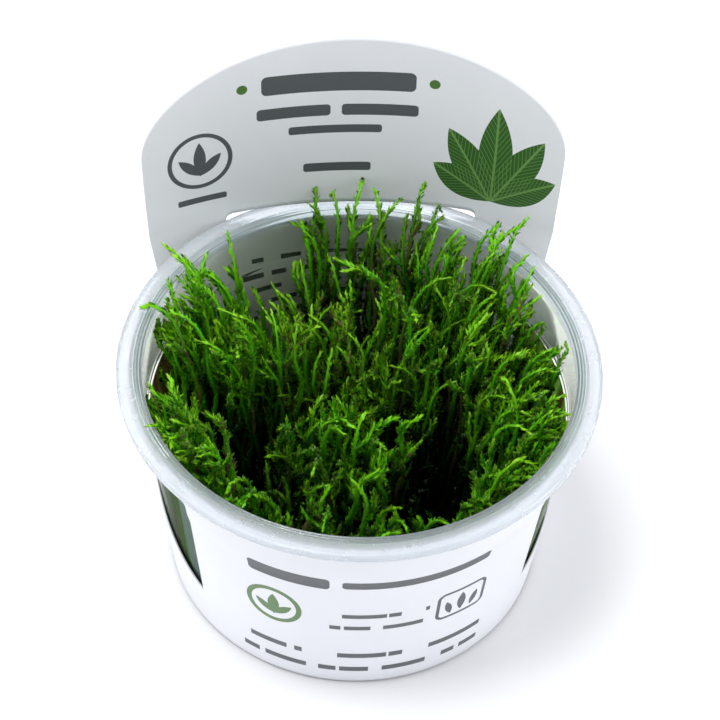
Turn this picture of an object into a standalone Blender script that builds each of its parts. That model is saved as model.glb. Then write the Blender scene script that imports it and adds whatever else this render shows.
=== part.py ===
"""A cup of tissue culture moss.

A clear moulded cup with a stepped, rolled lip stands on its flat base. A printed card sleeve
is wrapped round it: a low band all round, a tall front panel with an ear each side, open
windows at both sides and, at the back, a header card that stands up behind the lip. The lip
pokes through a slot in the card. In the cup a disc of clear gel carries upright tufts of moss,
tall at the back, leaning out over the lip at the sides and short round a hollow at the front.

Metres, +Z up. The origin is the centre of the cup's base, and the front faces -Y.
"""
import math
import random

import bmesh
import bpy
from mathutils import Vector

MM = 0.001
GAP = 0.3 * MM                        # clearance between pieces that touch

# Cup
LIP_RADIUS = 47.5 * MM                # outer edge of the rolled lip
LIP_HEIGHT = 54.5 * MM                # top of the lip above the base
LIP_FLAT_RADIUS = 44.3 * MM           # where the flat lip begins
LIP_SKIRT = 1.5 * MM                  # how far the rolled edge turns down
WALL_RADIUS_TOP = 43.4 * MM           # outside of the wall just under the lip
WALL_RADIUS_BASE = 38.7 * MM          # outside of the wall at the base
WALL = 0.75 * MM
FLOOR = 1.2 * MM
BASE_CORNER = 1.5 * MM                # rounding of the bottom edge
LEDGE_HEIGHT = 42.5 * MM              # stacking ledge in the wall
LEDGE_STEP = 0.4 * MM
CUP_STEPS = 48

# Card sleeve, heights above the base
CARD = 0.35 * MM                      # thickness of the card
CARD_GAP = 0.4 * MM                   # from the cup's wall to the card
BAND_BOTTOM = 0.5 * MM
WINDOW_LOW = 13.4 * MM                # lowest point of each side window
WINDOW_CORNER = 3.0 * MM              # rounding of each window under the front panel's ear
FRONT_TOP = 52.2 * MM                 # top of the front panel, under the lip
FRONT_CORNER = 3.0 * MM
FRONT_HALF_ANGLE = math.radians(53.6)
FRONT_SKEW = math.radians(1.6)        # the front panel is cut this far to the right
EAR_LOW = 45.6 * MM                   # the panel widens to an ear each side, just under the lip
EAR_ANGLE = math.radians(9.0)
HEADER_HALF_WIDTH = 43.7 * MM
HEADER_SHOULDER = 74.5 * MM           # height at which the rounded top begins
HEADER_TOP = 96.9 * MM
HEADER_EAR = 45.5 * MM                # height at which the header's sides flare to the band
HEADER_CURVE_RADIUS = 99.7 * MM       # the header springs flatter than the cup
HEADER_LEAN = 0.064                   # how far the header leans back for each unit of height
CARD_SPRING_LOW = 20.0 * MM           # above this the back springs away from the cup
CARD_SPRING_FULL = math.radians(60.0)
CARD_SPRING_NONE = math.radians(105.0)
CARD_TURN = math.radians(4.5)         # the sleeve is turned a little on the cup
SLOT_HALF_WIDTH = 26.8 * MM
SLOT_BOTTOM = 51.9 * MM
SLOT_TOP = 55.1 * MM

# Gel and moss
GEL_TOP = 9.0 * MM
TUFT_SPACING = 9.8 * MM               # between tuft axes at lip height
TUFT_RADIUS = 4.3 * MM                # thickest part of a tuft
TUFT_FOOT_SCALE = 0.84                # the tufts stand closer together at the gel
TUFT_SIDES = 10
SEED = 11


def clear_scene():
    for item in list(bpy.data.objects):
        bpy.data.objects.remove(item, do_unlink=True)
    for group in list(bpy.data.collections):
        bpy.data.collections.remove(group)


def make_collection(name):
    group = bpy.data.collections.new(name)
    bpy.context.scene.collection.children.link(group)
    return group


def make_material(name, colour, roughness, transmission=0.0, ior=1.5):
    material = bpy.data.materials.new(name)
    material.use_nodes = True
    shader = material.node_tree.nodes["Principled BSDF"]
    shader.inputs["Base Color"].default_value = (*colour, 1.0)
    shader.inputs["Roughness"].default_value = roughness
    shader.inputs["Metallic"].default_value = 0.0
    shader.inputs["Transmission Weight"].default_value = transmission
    shader.inputs["IOR"].default_value = ior
    return material


def mesh_object(name, points, faces, group, material=None):
    mesh = bpy.data.meshes.new(name)
    mesh.from_pydata(points, [], faces)
    mesh.update()
    item = bpy.data.objects.new(name, mesh)
    group.objects.link(item)
    if material:
        mesh.materials.append(material)
    return item


def turned_object(name, profile, group, material):
    """Turn a profile of (radius, height) points about Z into one closed body."""
    points = [(radius, 0.0, height) for radius, height in profile]
    mesh = bpy.data.meshes.new(name)
    mesh.from_pydata(points, [(i, i + 1) for i in range(len(points) - 1)], [])
    item = bpy.data.objects.new(name, mesh)
    group.objects.link(item)
    mesh.materials.append(material)
    screw = item.modifiers.new("turned", "SCREW")
    screw.steps = CUP_STEPS
    screw.render_steps = CUP_STEPS
    screw.use_merge_vertices = True
    screw.merge_threshold = 0.00001
    screw.use_smooth_shade = True
    return item


def ramp(value, low, high):
    """0 below low, 1 above high, and a smooth rise between them."""
    t = min(max((value - low) / (high - low), 0.0), 1.0)
    return t * t * (3.0 - 2.0 * t)


def outer_wall(height):
    """Radius of the cup's outside at a height, without the ledge."""
    slope = (WALL_RADIUS_TOP - WALL_RADIUS_BASE) / (52.0 * MM - BASE_CORNER)
    return WALL_RADIUS_BASE + slope * (height - BASE_CORNER)


def inner_wall(height):
    """Radius of the cup's inside, which is wider above the stacking ledge."""
    return outer_wall(height) - WALL + (LEDGE_STEP / 2 if height > LEDGE_HEIGHT else -LEDGE_STEP / 2)


def build_cup(group, material):
    """Up the inside, over the stepped and rolled lip, and down the outside."""
    half_step = LEDGE_STEP / 2
    top = LIP_HEIGHT
    flat = LIP_FLAT_RADIUS
    ledge_low = LEDGE_HEIGHT - 0.3 * MM
    ledge_high = LEDGE_HEIGHT + 0.3 * MM
    wall_top = 52.0 * MM
    profile = [
        (0.0, FLOOR),
        (outer_wall(FLOOR) - WALL - 1.3 * MM, FLOOR),
        (inner_wall(2.8 * MM), 2.8 * MM),
        (outer_wall(ledge_low) - WALL - half_step, ledge_low),
        (outer_wall(ledge_high) - WALL + half_step, ledge_high),
        (inner_wall(wall_top), wall_top + 0.2 * MM),
        (flat - 1.0 * MM, top - 1.9 * MM),
        (flat - 0.9 * MM, top - 1.1 * MM),
        (flat - 0.2 * MM, top - 0.8 * MM),
        (flat, top),
        (LIP_RADIUS - 0.5 * MM, top),
        (LIP_RADIUS - 0.1 * MM, top - 0.25 * MM),
        (LIP_RADIUS, top - 0.7 * MM),
        (LIP_RADIUS, top - LIP_SKIRT),
        (LIP_RADIUS - 0.5 * MM, top - LIP_SKIRT),
        (LIP_RADIUS - 0.6 * MM, top - 0.8 * MM),
        (flat + 0.5 * MM, top - 0.9 * MM),
        (WALL_RADIUS_TOP, wall_top + 0.3 * MM),
        (outer_wall(ledge_high) + half_step, ledge_high - 0.3 * MM),
        (outer_wall(ledge_low) - half_step, ledge_low - 0.3 * MM),
        (outer_wall(BASE_CORNER) - half_step, BASE_CORNER),
        (WALL_RADIUS_BASE - 0.7 * MM, 0.4 * MM),
        (WALL_RADIUS_BASE - 1.6 * MM, 0.0),
        (0.0, 0.0),
    ]
    return turned_object("cup", profile, group, material)


def build_gel(group, material):
    """A disc cast in the cup, clear of its floor and wall by a hair."""
    profile = [
        (0.0, GEL_TOP),
        (inner_wall(GEL_TOP) - GAP, GEL_TOP),
        (inner_wall(3.2 * MM) - GAP, 3.2 * MM),
        (inner_wall(3.2 * MM) - GAP - 1.6 * MM, FLOOR + GAP),
        (0.0, FLOOR + GAP),
    ]
    return turned_object("gel_disc", profile, group, material)


def card_radius(height):
    """Inside radius of the sleeve where it lies along the cup's wall."""
    return outer_wall(height) + CARD_GAP


def card_point(angle, height):
    """The card's inner face. The angle is measured from the middle of the back.

    Low down the card follows the cup. Towards the lip the back part springs to a flatter arc,
    which the header keeps while it leans back.
    """
    radius = card_radius(min(height, LIP_HEIGHT))
    lean = HEADER_LEAN * max(height - LIP_HEIGHT, 0.0)
    back = radius + lean
    round_x = back * math.sin(angle)
    round_y = back * math.cos(angle)
    arc = radius * angle / HEADER_CURVE_RADIUS
    waist = 1.0 - 0.017 * ramp(HEADER_SHOULDER - height, 0.0, 27.0 * MM)
    flat_x = HEADER_CURVE_RADIUS * math.sin(arc) * waist
    flat_y = back - HEADER_CURVE_RADIUS * (1.0 - math.cos(arc))
    spring = ramp(height, CARD_SPRING_LOW, LIP_HEIGHT)
    spring *= 1.0 - ramp(abs(angle), CARD_SPRING_FULL, CARD_SPRING_NONE)
    return (
        round_x + (flat_x - round_x) * spring,
        round_y + (flat_y - round_y) * spring,
        height,
    )


def header_edge_angle():
    return HEADER_HALF_WIDTH / card_radius(LIP_HEIGHT)


def window_tip_angle(angle):
    """Angle of the front panel's edge on the side that the given angle lies on."""
    return math.pi - FRONT_HALF_ANGLE + (FRONT_SKEW if angle < 0.0 else -FRONT_SKEW)


def band_top(angle):
    """Height of the part that runs all round: it sweeps from the header down to the front."""
    edge = header_edge_angle()
    tip = window_tip_angle(angle)
    share = (tip - min(max(abs(angle), edge), tip)) / (tip - edge)
    return WINDOW_LOW + (HEADER_EAR - WINDOW_LOW) * share ** 1.3


def header_top(angle):
    """A half ellipse over straight sides."""
    share = min(abs(angle) / header_edge_angle(), 1.0)
    rise = HEADER_TOP - HEADER_SHOULDER
    return HEADER_SHOULDER + rise * math.sqrt(1.0 - share * share)


def front_top(angle):
    """A level edge with a rounded corner at the end of each ear."""
    inset = (abs(angle) - window_tip_angle(angle) + EAR_ANGLE) * card_radius(FRONT_TOP)
    drop = min(max(FRONT_CORNER - inset, 0.0), FRONT_CORNER)
    return FRONT_TOP - FRONT_CORNER + math.sqrt(FRONT_CORNER ** 2 - drop ** 2)


def ear_bottom(angle):
    """The ears' lower edge, which rounds the windows' corner down into the panel's edge."""
    past = (window_tip_angle(angle) - abs(angle)) * card_radius(EAR_LOW)
    drop = min(max(WINDOW_CORNER - past, 0.0), WINDOW_CORNER)
    return EAR_LOW - WINDOW_CORNER + math.sqrt(WINDOW_CORNER ** 2 - drop ** 2)


def half_columns(side):
    """Angles of the sleeve's columns from the back to the front on one side, 1 or -1."""
    edge = header_edge_angle()
    tip = window_tip_angle(side)
    ear = tip - EAR_ANGLE
    corner = WINDOW_CORNER / card_radius(EAR_LOW)
    header = [edge * math.sin(math.pi / 2 * i / 12) for i in range(13)]
    sweep = [edge + (ear - edge) * i / 8 for i in range(1, 9)]
    end = [ear + corner * share for share in (0.15, 0.5)]
    turn = [tip - corner * share for share in (1.0, 0.5, 0.15, 0.0)]
    front = [tip + (math.pi - tip) * i / 8 for i in range(1, 9)]
    return [side * angle for angle in header + sweep + end + turn + front]


def card_columns():
    """All the sleeve's columns, to the right and then back along the left."""
    right = half_columns(1.0)
    left = half_columns(-1.0)
    return right + left[-2:0:-1]


def join_stretches(mesh):
    """Weld the rows that two stretches share."""
    shape = bmesh.new()
    shape.from_mesh(mesh)
    bmesh.ops.remove_doubles(shape, verts=shape.verts, dist=0.00001)
    shape.to_mesh(mesh)
    shape.free()


def build_card(group, cutters, material):
    """One sheet in four stretches of rows: the band all round, the header, the front panel and
    its top with the ears."""
    columns = card_columns()
    edge = header_edge_angle() + 1e-6

    def on_panel(angle):
        return abs(angle) >= window_tip_angle(angle) - 1e-6

    def on_ears(angle):
        return abs(angle) >= window_tip_angle(angle) - EAR_ANGLE - 1e-6

    stretches = [
        (4, lambda angle: BAND_BOTTOM, band_top, lambda angle: True),
        (6, band_top, header_top, lambda angle: abs(angle) <= edge),
        (3, band_top, lambda angle: EAR_LOW - WINDOW_CORNER, on_panel),
        (1, ear_bottom, front_top, on_ears),
    ]
    points = []
    faces = []
    for rows, bottom, top, belongs in stretches:
        first = {}
        for i, angle in enumerate(columns):
            if not belongs(angle):
                continue
            first[i] = len(points)
            for row in range(rows + 1):
                height = bottom(angle) + (top(angle) - bottom(angle)) * row / rows
                points.append(card_point(angle, height))
        for i in first:
            after = (i + 1) % len(columns)
            if after not in first:
                continue
            here = first[i]
            there = first[after]
            for row in range(rows):
                faces.append((here + row, here + row + 1, there + row + 1, there + row))
    card = mesh_object("card_sleeve", points, faces, group, material)
    join_stretches(card.data)
    card.rotation_euler = (0.0, 0.0, CARD_TURN)
    sheet = card.modifiers.new("thickness", "SOLIDIFY")
    sheet.thickness = CARD
    sheet.offset = 1.0
    sheet.use_even_offset = True

    mesh = bpy.data.meshes.new("slot_cutter")
    shape = bmesh.new()
    bmesh.ops.create_cube(shape, size=1.0)
    size = Vector((2 * SLOT_HALF_WIDTH, 12.0 * MM, SLOT_TOP - SLOT_BOTTOM))
    bmesh.ops.scale(shape, vec=size, verts=shape.verts)
    along_depth = [e for e in shape.edges if abs(e.verts[0].co.y - e.verts[1].co.y) > size.y / 2]
    bmesh.ops.bevel(shape, geom=along_depth, offset=0.45 * size.z, segments=2, affect="EDGES")
    shape.to_mesh(mesh)
    shape.free()
    cutter = bpy.data.objects.new("slot_cutter", mesh)
    cutters.objects.link(cutter)
    middle = Vector((0.0, 42.5 * MM, (SLOT_TOP + SLOT_BOTTOM) / 2))
    middle.rotate(card.rotation_euler)
    cutter.location = middle
    cutter.rotation_euler = card.rotation_euler
    cutter.hide_render = True
    cutter.display_type = "WIRE"
    slot = card.modifiers.new("slot for the lip", "BOOLEAN")
    slot.operation = "DIFFERENCE"
    slot.solver = "EXACT"
    slot.object = cutter
    return card


def moss_height(x, y, dice):
    """How far a tuft's tips stand above the lip, or None in the open hollows."""
    radius = math.hypot(x, y)
    if -32.0 * MM < x < -20.0 * MM and -12.0 * MM < y < 4.0 * MM:
        return None
    if 12.0 * MM < y < 30.0 * MM and -28.0 * MM < x < 8.0 * MM:
        return dice.uniform(-9.0, -3.0) * MM
    if y > 12.0 * MM:
        return dice.uniform(4.0, 11.0) * MM
    if abs(x) > 27.0 * MM:
        return dice.uniform(-3.0, 4.0) * MM
    if y > 0.0:
        return dice.uniform(-3.0, 4.0) * MM
    if radius > 28.0 * MM:
        return dice.uniform(-15.0, -7.0) * MM
    if -16.0 * MM < x < 7.0 * MM:
        return dice.uniform(-16.0, -8.0) * MM
    return None


def tuft_places():
    """A jittered six-sided grid that fills the mouth of the cup."""
    dice = random.Random(SEED)
    limit = inner_wall(LIP_HEIGHT) - TUFT_RADIUS - 2 * GAP
    row_step = TUFT_SPACING * math.sqrt(3) / 2
    rows = int(limit / row_step) + 1
    places = []
    for row in range(rows, -rows - 1, -1):
        y = row * row_step
        shift = TUFT_SPACING / 2 if row % 2 else 0.0
        for column in range(-5, 6):
            x = column * TUFT_SPACING + shift
            if math.hypot(x, y) > limit:
                continue
            height = moss_height(x, y, dice)
            if height is not None:
                places.append((x, y, LIP_HEIGHT + height))
    return places


def keep_inside(point):
    """Pull a point in from the cup's wall, but let a tip above the lip lean over it."""
    x, y, z = point
    radius = math.hypot(x, y)
    if z > LIP_HEIGHT + 1.0 * MM:
        limit = LIP_FLAT_RADIUS
    else:
        limit = inner_wall(min(z, 51.0 * MM)) - 2 * GAP
    if radius > limit:
        x *= limit / radius
        y *= limit / radius
    return (x, y, z)


def build_tuft(name, x, y, top, dice, group, material):
    """A fluted bundle of shoots that parts into five pointed ones near the top."""
    foot = GEL_TOP + GAP
    tall = top - foot
    crown = foot + tall * 0.72
    stations = (0.0, 0.15, 0.4, 0.7, 0.88, 1.0)
    widths = (0.30, 0.50, 0.78, 0.98, 1.0, 0.86)
    twist = dice.uniform(0.0, math.tau)
    reach = min(math.hypot(x, y) / (30.0 * MM), 1.0)

    def axis(height):
        share = (height - foot) / (LIP_HEIGHT - foot)
        scale = TUFT_FOOT_SCALE + (1.0 - TUFT_FOOT_SCALE) * share
        return x * scale, y * scale

    points = []
    for station, width in zip(stations, widths):
        height = foot + (crown - foot) * station
        middle_x, middle_y = axis(height)
        for side in range(TUFT_SIDES):
            angle = twist + math.tau * side / TUFT_SIDES
            flute = 1.0 if side % 2 else 0.84
            radius = TUFT_RADIUS * width * flute * dice.uniform(0.9, 1.0)
            points.append(keep_inside((
                middle_x + radius * math.cos(angle),
                middle_y + radius * math.sin(angle),
                height,
            )))
    faces = [tuple(reversed(range(TUFT_SIDES)))]
    for ring in range(len(stations) - 1):
        low = ring * TUFT_SIDES
        high = low + TUFT_SIDES
        for side in range(TUFT_SIDES):
            after = (side + 1) % TUFT_SIDES
            faces.append((low + side, low + after, high + after, high + side))

    last = (len(stations) - 1) * TUFT_SIDES
    middle_x, middle_y = axis(crown)
    points.append((middle_x, middle_y, crown - 1.0 * MM))
    heart = len(points) - 1
    tallest = dice.randrange(TUFT_SIDES // 2)
    for shoot in range(TUFT_SIDES // 2):
        lift = 1.0 if shoot == tallest else dice.uniform(0.7, 0.97)
        height = crown + (top - crown) * lift
        middle_x, middle_y = axis(height)
        angle = twist + math.tau * (2 * shoot + 1) / TUFT_SIDES
        radius = TUFT_RADIUS * dice.uniform(0.6, 0.95)
        lean = 3.0 * MM * reach * reach
        out = math.atan2(y, x)
        points.append(keep_inside((
            middle_x + radius * math.cos(angle) + lean * math.cos(out),
            middle_y + radius * math.sin(angle) + lean * math.sin(out),
            height,
        )))
        tip = len(points) - 1
        first = last + 2 * shoot
        second = first + 1
        third = last + (2 * shoot + 2) % TUFT_SIDES
        faces.append((first, second, tip))
        faces.append((second, third, tip))
        faces.append((third, heart, tip))
        faces.append((heart, first, tip))
    tuft = mesh_object(name, points, faces, group, material)
    return tuft


def shade_round(item, angle=math.radians(35.0)):
    item.data.shade_smooth()
    item.data.set_sharp_from_angle(angle=angle)


def main():
    clear_scene()
    group = make_collection("tissue_culture_moss")
    cutters = make_collection("cutters")
    clear_plastic = make_material("clear moulded plastic", (0.93, 0.95, 0.94), 0.08, 1.0, 1.5)
    card_stock = make_material("coated white card", (0.86, 0.88, 0.90), 0.35)
    gel = make_material("clear nutrient gel", (0.80, 0.82, 0.70), 0.15, 0.9, 1.34)
    leaf_green = make_material("moss leaf", (0.10, 0.27, 0.015), 0.55)

    build_cup(group, clear_plastic)
    build_gel(group, gel)
    card = build_card(group, cutters, card_stock)
    shade_round(card)
    dice = random.Random(SEED + 1)
    for number, (x, y, top) in enumerate(tuft_places(), start=1):
        build_tuft(f"moss_tuft_{number:02d}", x, y, top, dice, group, leaf_green)


main()
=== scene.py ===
"""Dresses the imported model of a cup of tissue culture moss.

A clear turned cup, a printed card sleeve, a disc of gel and some hundreds of leafy moss shoots,
all worked out as whole arrays from a few sizes and from the frame's own boxes.
"""

import math
from collections import namedtuple
from types import SimpleNamespace

import bpy
import numpy as np
from mathutils import Matrix, Vector


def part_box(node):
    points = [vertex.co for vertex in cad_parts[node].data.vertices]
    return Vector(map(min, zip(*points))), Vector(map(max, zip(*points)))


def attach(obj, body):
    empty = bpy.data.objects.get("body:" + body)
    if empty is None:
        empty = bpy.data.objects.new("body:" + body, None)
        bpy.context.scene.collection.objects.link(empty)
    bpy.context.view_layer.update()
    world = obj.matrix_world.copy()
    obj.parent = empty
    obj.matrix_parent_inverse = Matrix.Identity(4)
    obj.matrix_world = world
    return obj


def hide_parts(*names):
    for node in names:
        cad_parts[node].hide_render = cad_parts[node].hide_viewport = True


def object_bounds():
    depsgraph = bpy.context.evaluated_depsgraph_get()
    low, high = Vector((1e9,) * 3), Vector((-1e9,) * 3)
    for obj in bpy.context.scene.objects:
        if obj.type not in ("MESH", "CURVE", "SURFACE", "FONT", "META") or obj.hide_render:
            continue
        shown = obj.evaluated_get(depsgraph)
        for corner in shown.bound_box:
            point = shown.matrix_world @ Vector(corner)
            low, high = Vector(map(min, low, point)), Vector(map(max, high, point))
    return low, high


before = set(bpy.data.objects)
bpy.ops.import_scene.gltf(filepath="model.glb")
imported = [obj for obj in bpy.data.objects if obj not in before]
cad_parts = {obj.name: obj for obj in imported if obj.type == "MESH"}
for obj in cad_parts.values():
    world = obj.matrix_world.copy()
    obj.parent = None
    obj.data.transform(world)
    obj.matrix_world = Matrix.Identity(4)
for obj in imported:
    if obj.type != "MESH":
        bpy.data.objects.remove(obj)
CAD_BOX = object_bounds()
CUP_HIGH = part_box("cup")[1]
TUFTS = sorted(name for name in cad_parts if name.startswith("moss_tuft_"))

bl_info = {
    "name": "Tissue Culture Moss Cup",
    "version": (1, 0, 0),
    "blender": (4, 5, 0),
    "location": "3D View > Sidebar > Moss Cup",
    "description": "Makes a clear cup of moss shoots in a printed card sleeve",
    "category": "Add Mesh",
}

MM = 0.001

# Cup, as the frame's solid has it
LIP_RADIUS = CUP_HIGH.x
LIP_HEIGHT = CUP_HIGH.z
LIP_FLAT_RADIUS = 44.3 * MM
WALL_RADIUS_TOP = 43.4 * MM
WALL_RADIUS_BASE = 38.7 * MM
WALL_TOP = 52.0 * MM
WALL = 0.75 * MM
FLOOR = 1.2 * MM
BASE_CORNER = 1.5 * MM
LEDGE_HEIGHT = 42.5 * MM
LEDGE_STEP = 0.4 * MM
NECK_HEIGHT = 51.0 * MM
GEL_GAP = 0.3 * MM

# Finishes of the cup, by material slot. Wet moss touches the wall at each window, between two
# angles from the middle of the front, and only a film of gel lies on it as far as FILM_TO.
PLAIN, LIP, WET, PRESSED, RING = range(5)
LIP_DEPTH = 2.4 * MM
WET_FROM = math.radians(46.0)
FILM_TO = math.radians(55.5)
WET_TO = math.radians(128.0)

# Card sleeve, as the frame's solid has it, but for the gap to the wall. The solid keeps clear of
# the cup, and the real card touches it.
CARD_GAP = 0.12 * MM
BAND_BOTTOM = 0.5 * MM
WINDOW_LOW = 13.4 * MM
WINDOW_CORNER = 3.0 * MM
FRONT_TOP = 52.2 * MM
FRONT_CORNER = 3.0 * MM
FRONT_HALF_ANGLE = math.radians(53.6)
FRONT_SKEW = math.radians(1.6)
EAR_LOW = 45.6 * MM
EAR_ANGLE = math.radians(9.0)
HEADER_HALF_WIDTH = 43.7 * MM
HEADER_SHOULDER = 74.5 * MM
HEADER_EAR = 45.5 * MM
HEADER_CURVE_RADIUS = 99.7 * MM
HEADER_LEAN = 0.064
HEADER_WAIST = 0.017
HEADER_WAIST_DROP = 27.0 * MM
CARD_SPRING_LOW = 20.0 * MM
CARD_SPRING_FULL = math.radians(60.0)
CARD_SPRING_NONE = math.radians(105.0)
CARD_TURN = math.radians(4.5)
SLOT_HALF_WIDTH = 26.8 * MM
SLOT_BOTTOM = 51.9 * MM
SLOT_TOP = 55.1 * MM

# Words are printed as rows of bars: a bar's share of its row, and the noise that it needs.
BAR_SHARE = 0.32
BAR_NOISE = 0.46

# Main shoots: the points along one, the angle from one to the next round the tuft's axis, and
# how far below the tuft's top its leaders end
STATIONS = 20
SUNFLOWER_TURN = math.radians(137.5)
LEADER_DROPS = np.array([0.0, 3.0, 1.0, 5.0, 8.0]) * MM

# Tops of main shoots: where the bend starts, its least and most degrees, how much more a leader
# and a hooked shoot may have, and the share of shoots at the rim that hook
BEND_START = 0.72
BEND = (5.0, 75.0)
LEADER_BEND = 55.0
HOOK_BEND = 50.0
HOOKED_SHARE = 0.35

# Leaf, in shares of its length: its width and where it is widest. The keel raises it there by a
# share of its width.
LEAF_WIDTH = 0.42
LEAF_WAIST = 0.4
LEAF_KEEL = 0.3

# A direction that no shoot follows, from which the sides of a shoot are worked out
OBLIQUE = np.array([0.31, 0.87, 0.38])

# Like shoots of one tuft: their middle lines, the main shoot that each belongs to, their radii
# at foot and tip, the share of their length that is bare, and how young they are
Shoots = namedtuple("Shoots", "paths stem radii bare youth")


def linear(hex_colour):
    """A colour written as sRGB hex, as linear red, green, blue and alpha."""
    parts = [int(hex_colour[i:i + 2], 16) / 255.0 for i in (1, 3, 5)]
    return tuple(((c + 0.055) / 1.055) ** 2.4 if c > 0.04045 else c / 12.92 for c in parts) + (1.0,)


class CupSettings(bpy.types.PropertyGroup):
    """Sizes and finish of the clear cup."""
    steps: bpy.props.IntProperty(
        name="Steps", description="Flat sides round the cup", default=192, min=24)
    corner: bpy.props.FloatProperty(
        name="Corner", description="Rounding of the moulded corners", default=0.22 * MM,
        unit="LENGTH", precision=5)
    colour: bpy.props.FloatVectorProperty(
        name="Colour", description="Tint of the clear plastic", subtype="COLOR", size=4,
        default=linear("#F2F7EA"))
    wet_ior: bpy.props.FloatProperty(
        name="Wet IOR", description="Index of the wall where wet moss touches it", default=1.01,
        min=1.0)
    lip_colour: bpy.props.FloatVectorProperty(
        name="Lip", description="Colour of the hazy lip", subtype="COLOR", size=4,
        default=linear("#EDF2F7"))
    ring_colour: bpy.props.FloatVectorProperty(
        name="Ring", description="Tint of the stepped ring in the lip", subtype="COLOR", size=4,
        default=linear("#DFEAEE"))
    roughness: bpy.props.FloatProperty(
        name="Roughness", description="Haze of the moulded skin", default=0.06,
        subtype="FACTOR", min=0.0, max=1.0)
    lip_haze: bpy.props.FloatProperty(
        name="Lip haze", description="Share of light that the lip scatters", default=0.3,
        subtype="FACTOR", min=0.0, max=1.0)


class SleeveSettings(bpy.types.PropertyGroup):
    """Sizes and inks of the card sleeve."""
    thickness: bpy.props.FloatProperty(
        name="Thickness", description="Thickness of the card", default=0.35 * MM,
        unit="LENGTH", precision=5)
    card_colour: bpy.props.FloatVectorProperty(
        name="Card", description="Coated face of the card", subtype="COLOR", size=4,
        default=linear("#F3F5FA"))
    grey_ink: bpy.props.FloatVectorProperty(
        name="Grey ink", description="Ink of the bars and frames", subtype="COLOR", size=4,
        default=linear("#55595D"))
    green_ink: bpy.props.FloatVectorProperty(
        name="Green ink", description="Ink of the green marks", subtype="COLOR", size=4,
        default=linear("#527A3A"))


class MossSettings(bpy.types.PropertyGroup):
    """Growth of the moss and the gel that it stands in."""
    shoots: bpy.props.IntProperty(
        name="Shoots", description="Shoots in a tuft at the back", default=16, min=1)
    low_shoots: bpy.props.IntProperty(
        name="Low shoots", description="Short shoots at a tuft's feet", default=14, min=1)
    side_shoots: bpy.props.FloatProperty(
        name="Side shoots", description="Side shoots on each shoot, on average", default=1.9)
    leaf_length: bpy.props.FloatProperty(
        name="Leaf length", description="Length of a leaf", default=1.2 * MM,
        unit="LENGTH", precision=5)
    leaf_spacing: bpy.props.FloatProperty(
        name="Leaf spacing", description="Distance between leaves along a young shoot",
        default=0.2 * MM, unit="LENGTH", precision=5)
    stem_radius: bpy.props.FloatProperty(
        name="Stem radius", description="Radius of a stem with the leaves pressed to it",
        default=0.5 * MM, unit="LENGTH", precision=5)
    tip_colour: bpy.props.FloatVectorProperty(
        name="Tips", description="Young leaves at the tips", subtype="COLOR", size=4,
        default=linear("#8CD61C"))
    leaf_colour: bpy.props.FloatVectorProperty(
        name="Leaves", description="Grown leaves", subtype="COLOR", size=4,
        default=linear("#5AB612"))
    old_colour: bpy.props.FloatVectorProperty(
        name="Old growth", description="Old leaves low on the stems", subtype="COLOR", size=4,
        default=linear("#2A6410"))
    brown_colour: bpy.props.FloatVectorProperty(
        name="Dead growth", description="Dead leaves on some stems", subtype="COLOR", size=4,
        default=linear("#7A7244"))
    # Dark olive: partly the gel's own tint, partly painted shade of the cup's deep bottom.
    gel_tint_and_painted_shade: bpy.props.FloatVectorProperty(
        name="Gel", description="Nutrient gel", subtype="COLOR", size=4,
        default=linear("#454B2A"))
    seed: bpy.props.IntProperty(name="Seed", description="Seed of the growth", default=7)


class StageSettings(bpy.types.PropertyGroup):
    """Where the camera stands and how bright the studio is."""
    elevation: bpy.props.FloatProperty(
        name="Elevation", description="Camera's angle above the horizon",
        default=math.radians(48.31), subtype="ANGLE")
    distance: bpy.props.FloatProperty(
        name="Distance", description="From the camera to the middle of the lip",
        default=390.45 * MM, unit="LENGTH", precision=4)
    roll: bpy.props.FloatProperty(
        name="Roll", description="Camera's turn about its own axis",
        default=math.radians(-2.44), subtype="ANGLE")
    lens: bpy.props.FloatProperty(
        name="Lens", description="Focal length in millimetres on a 36 mm sensor", default=100.0)
    sky: bpy.props.FloatProperty(
        name="Sky", description="Strength of the white surroundings", default=0.53)
    key: bpy.props.FloatProperty(
        name="Key", description="Power of the soft light above, in watts", default=4.0)
    left: bpy.props.FloatProperty(
        name="Left", description="Power of the large light at the left, in watts", default=3.0)
    right: bpy.props.FloatProperty(
        name="Right", description="Power of the large light at the right, in watts", default=4.4)


def new_piece(name, points, faces, materials, normals=None):
    """A mesh object at the origin. faces is a list of arrays, each (n, 3) or (n, 4) point numbers.
    normals are the points' own shading normals, where the faces' won't do."""
    mesh = bpy.data.meshes.new(name)
    corners = np.concatenate([part.ravel() for part in faces]).astype(np.int32)
    counts = np.concatenate([np.full(len(part), part.shape[1]) for part in faces])
    starts = np.concatenate(([0], np.cumsum(counts)[:-1])).astype(np.int32)
    mesh.vertices.add(len(points))
    mesh.vertices.foreach_set("co", np.asarray(points, np.float32).ravel())
    mesh.loops.add(len(corners))
    mesh.loops.foreach_set("vertex_index", corners)
    mesh.polygons.add(len(counts))
    mesh.polygons.foreach_set("loop_start", starts)
    if normals is not None:
        layer = mesh.attributes.new("custom_normal", "FLOAT_VECTOR", "POINT")
        layer.data.foreach_set("vector", normals.astype(np.float32).ravel())
    mesh.update(calc_edges=True)
    for material in materials:
        mesh.materials.append(material)
    piece = bpy.data.objects.new(name, mesh)
    bpy.context.scene.collection.objects.link(piece)
    return piece


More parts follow.
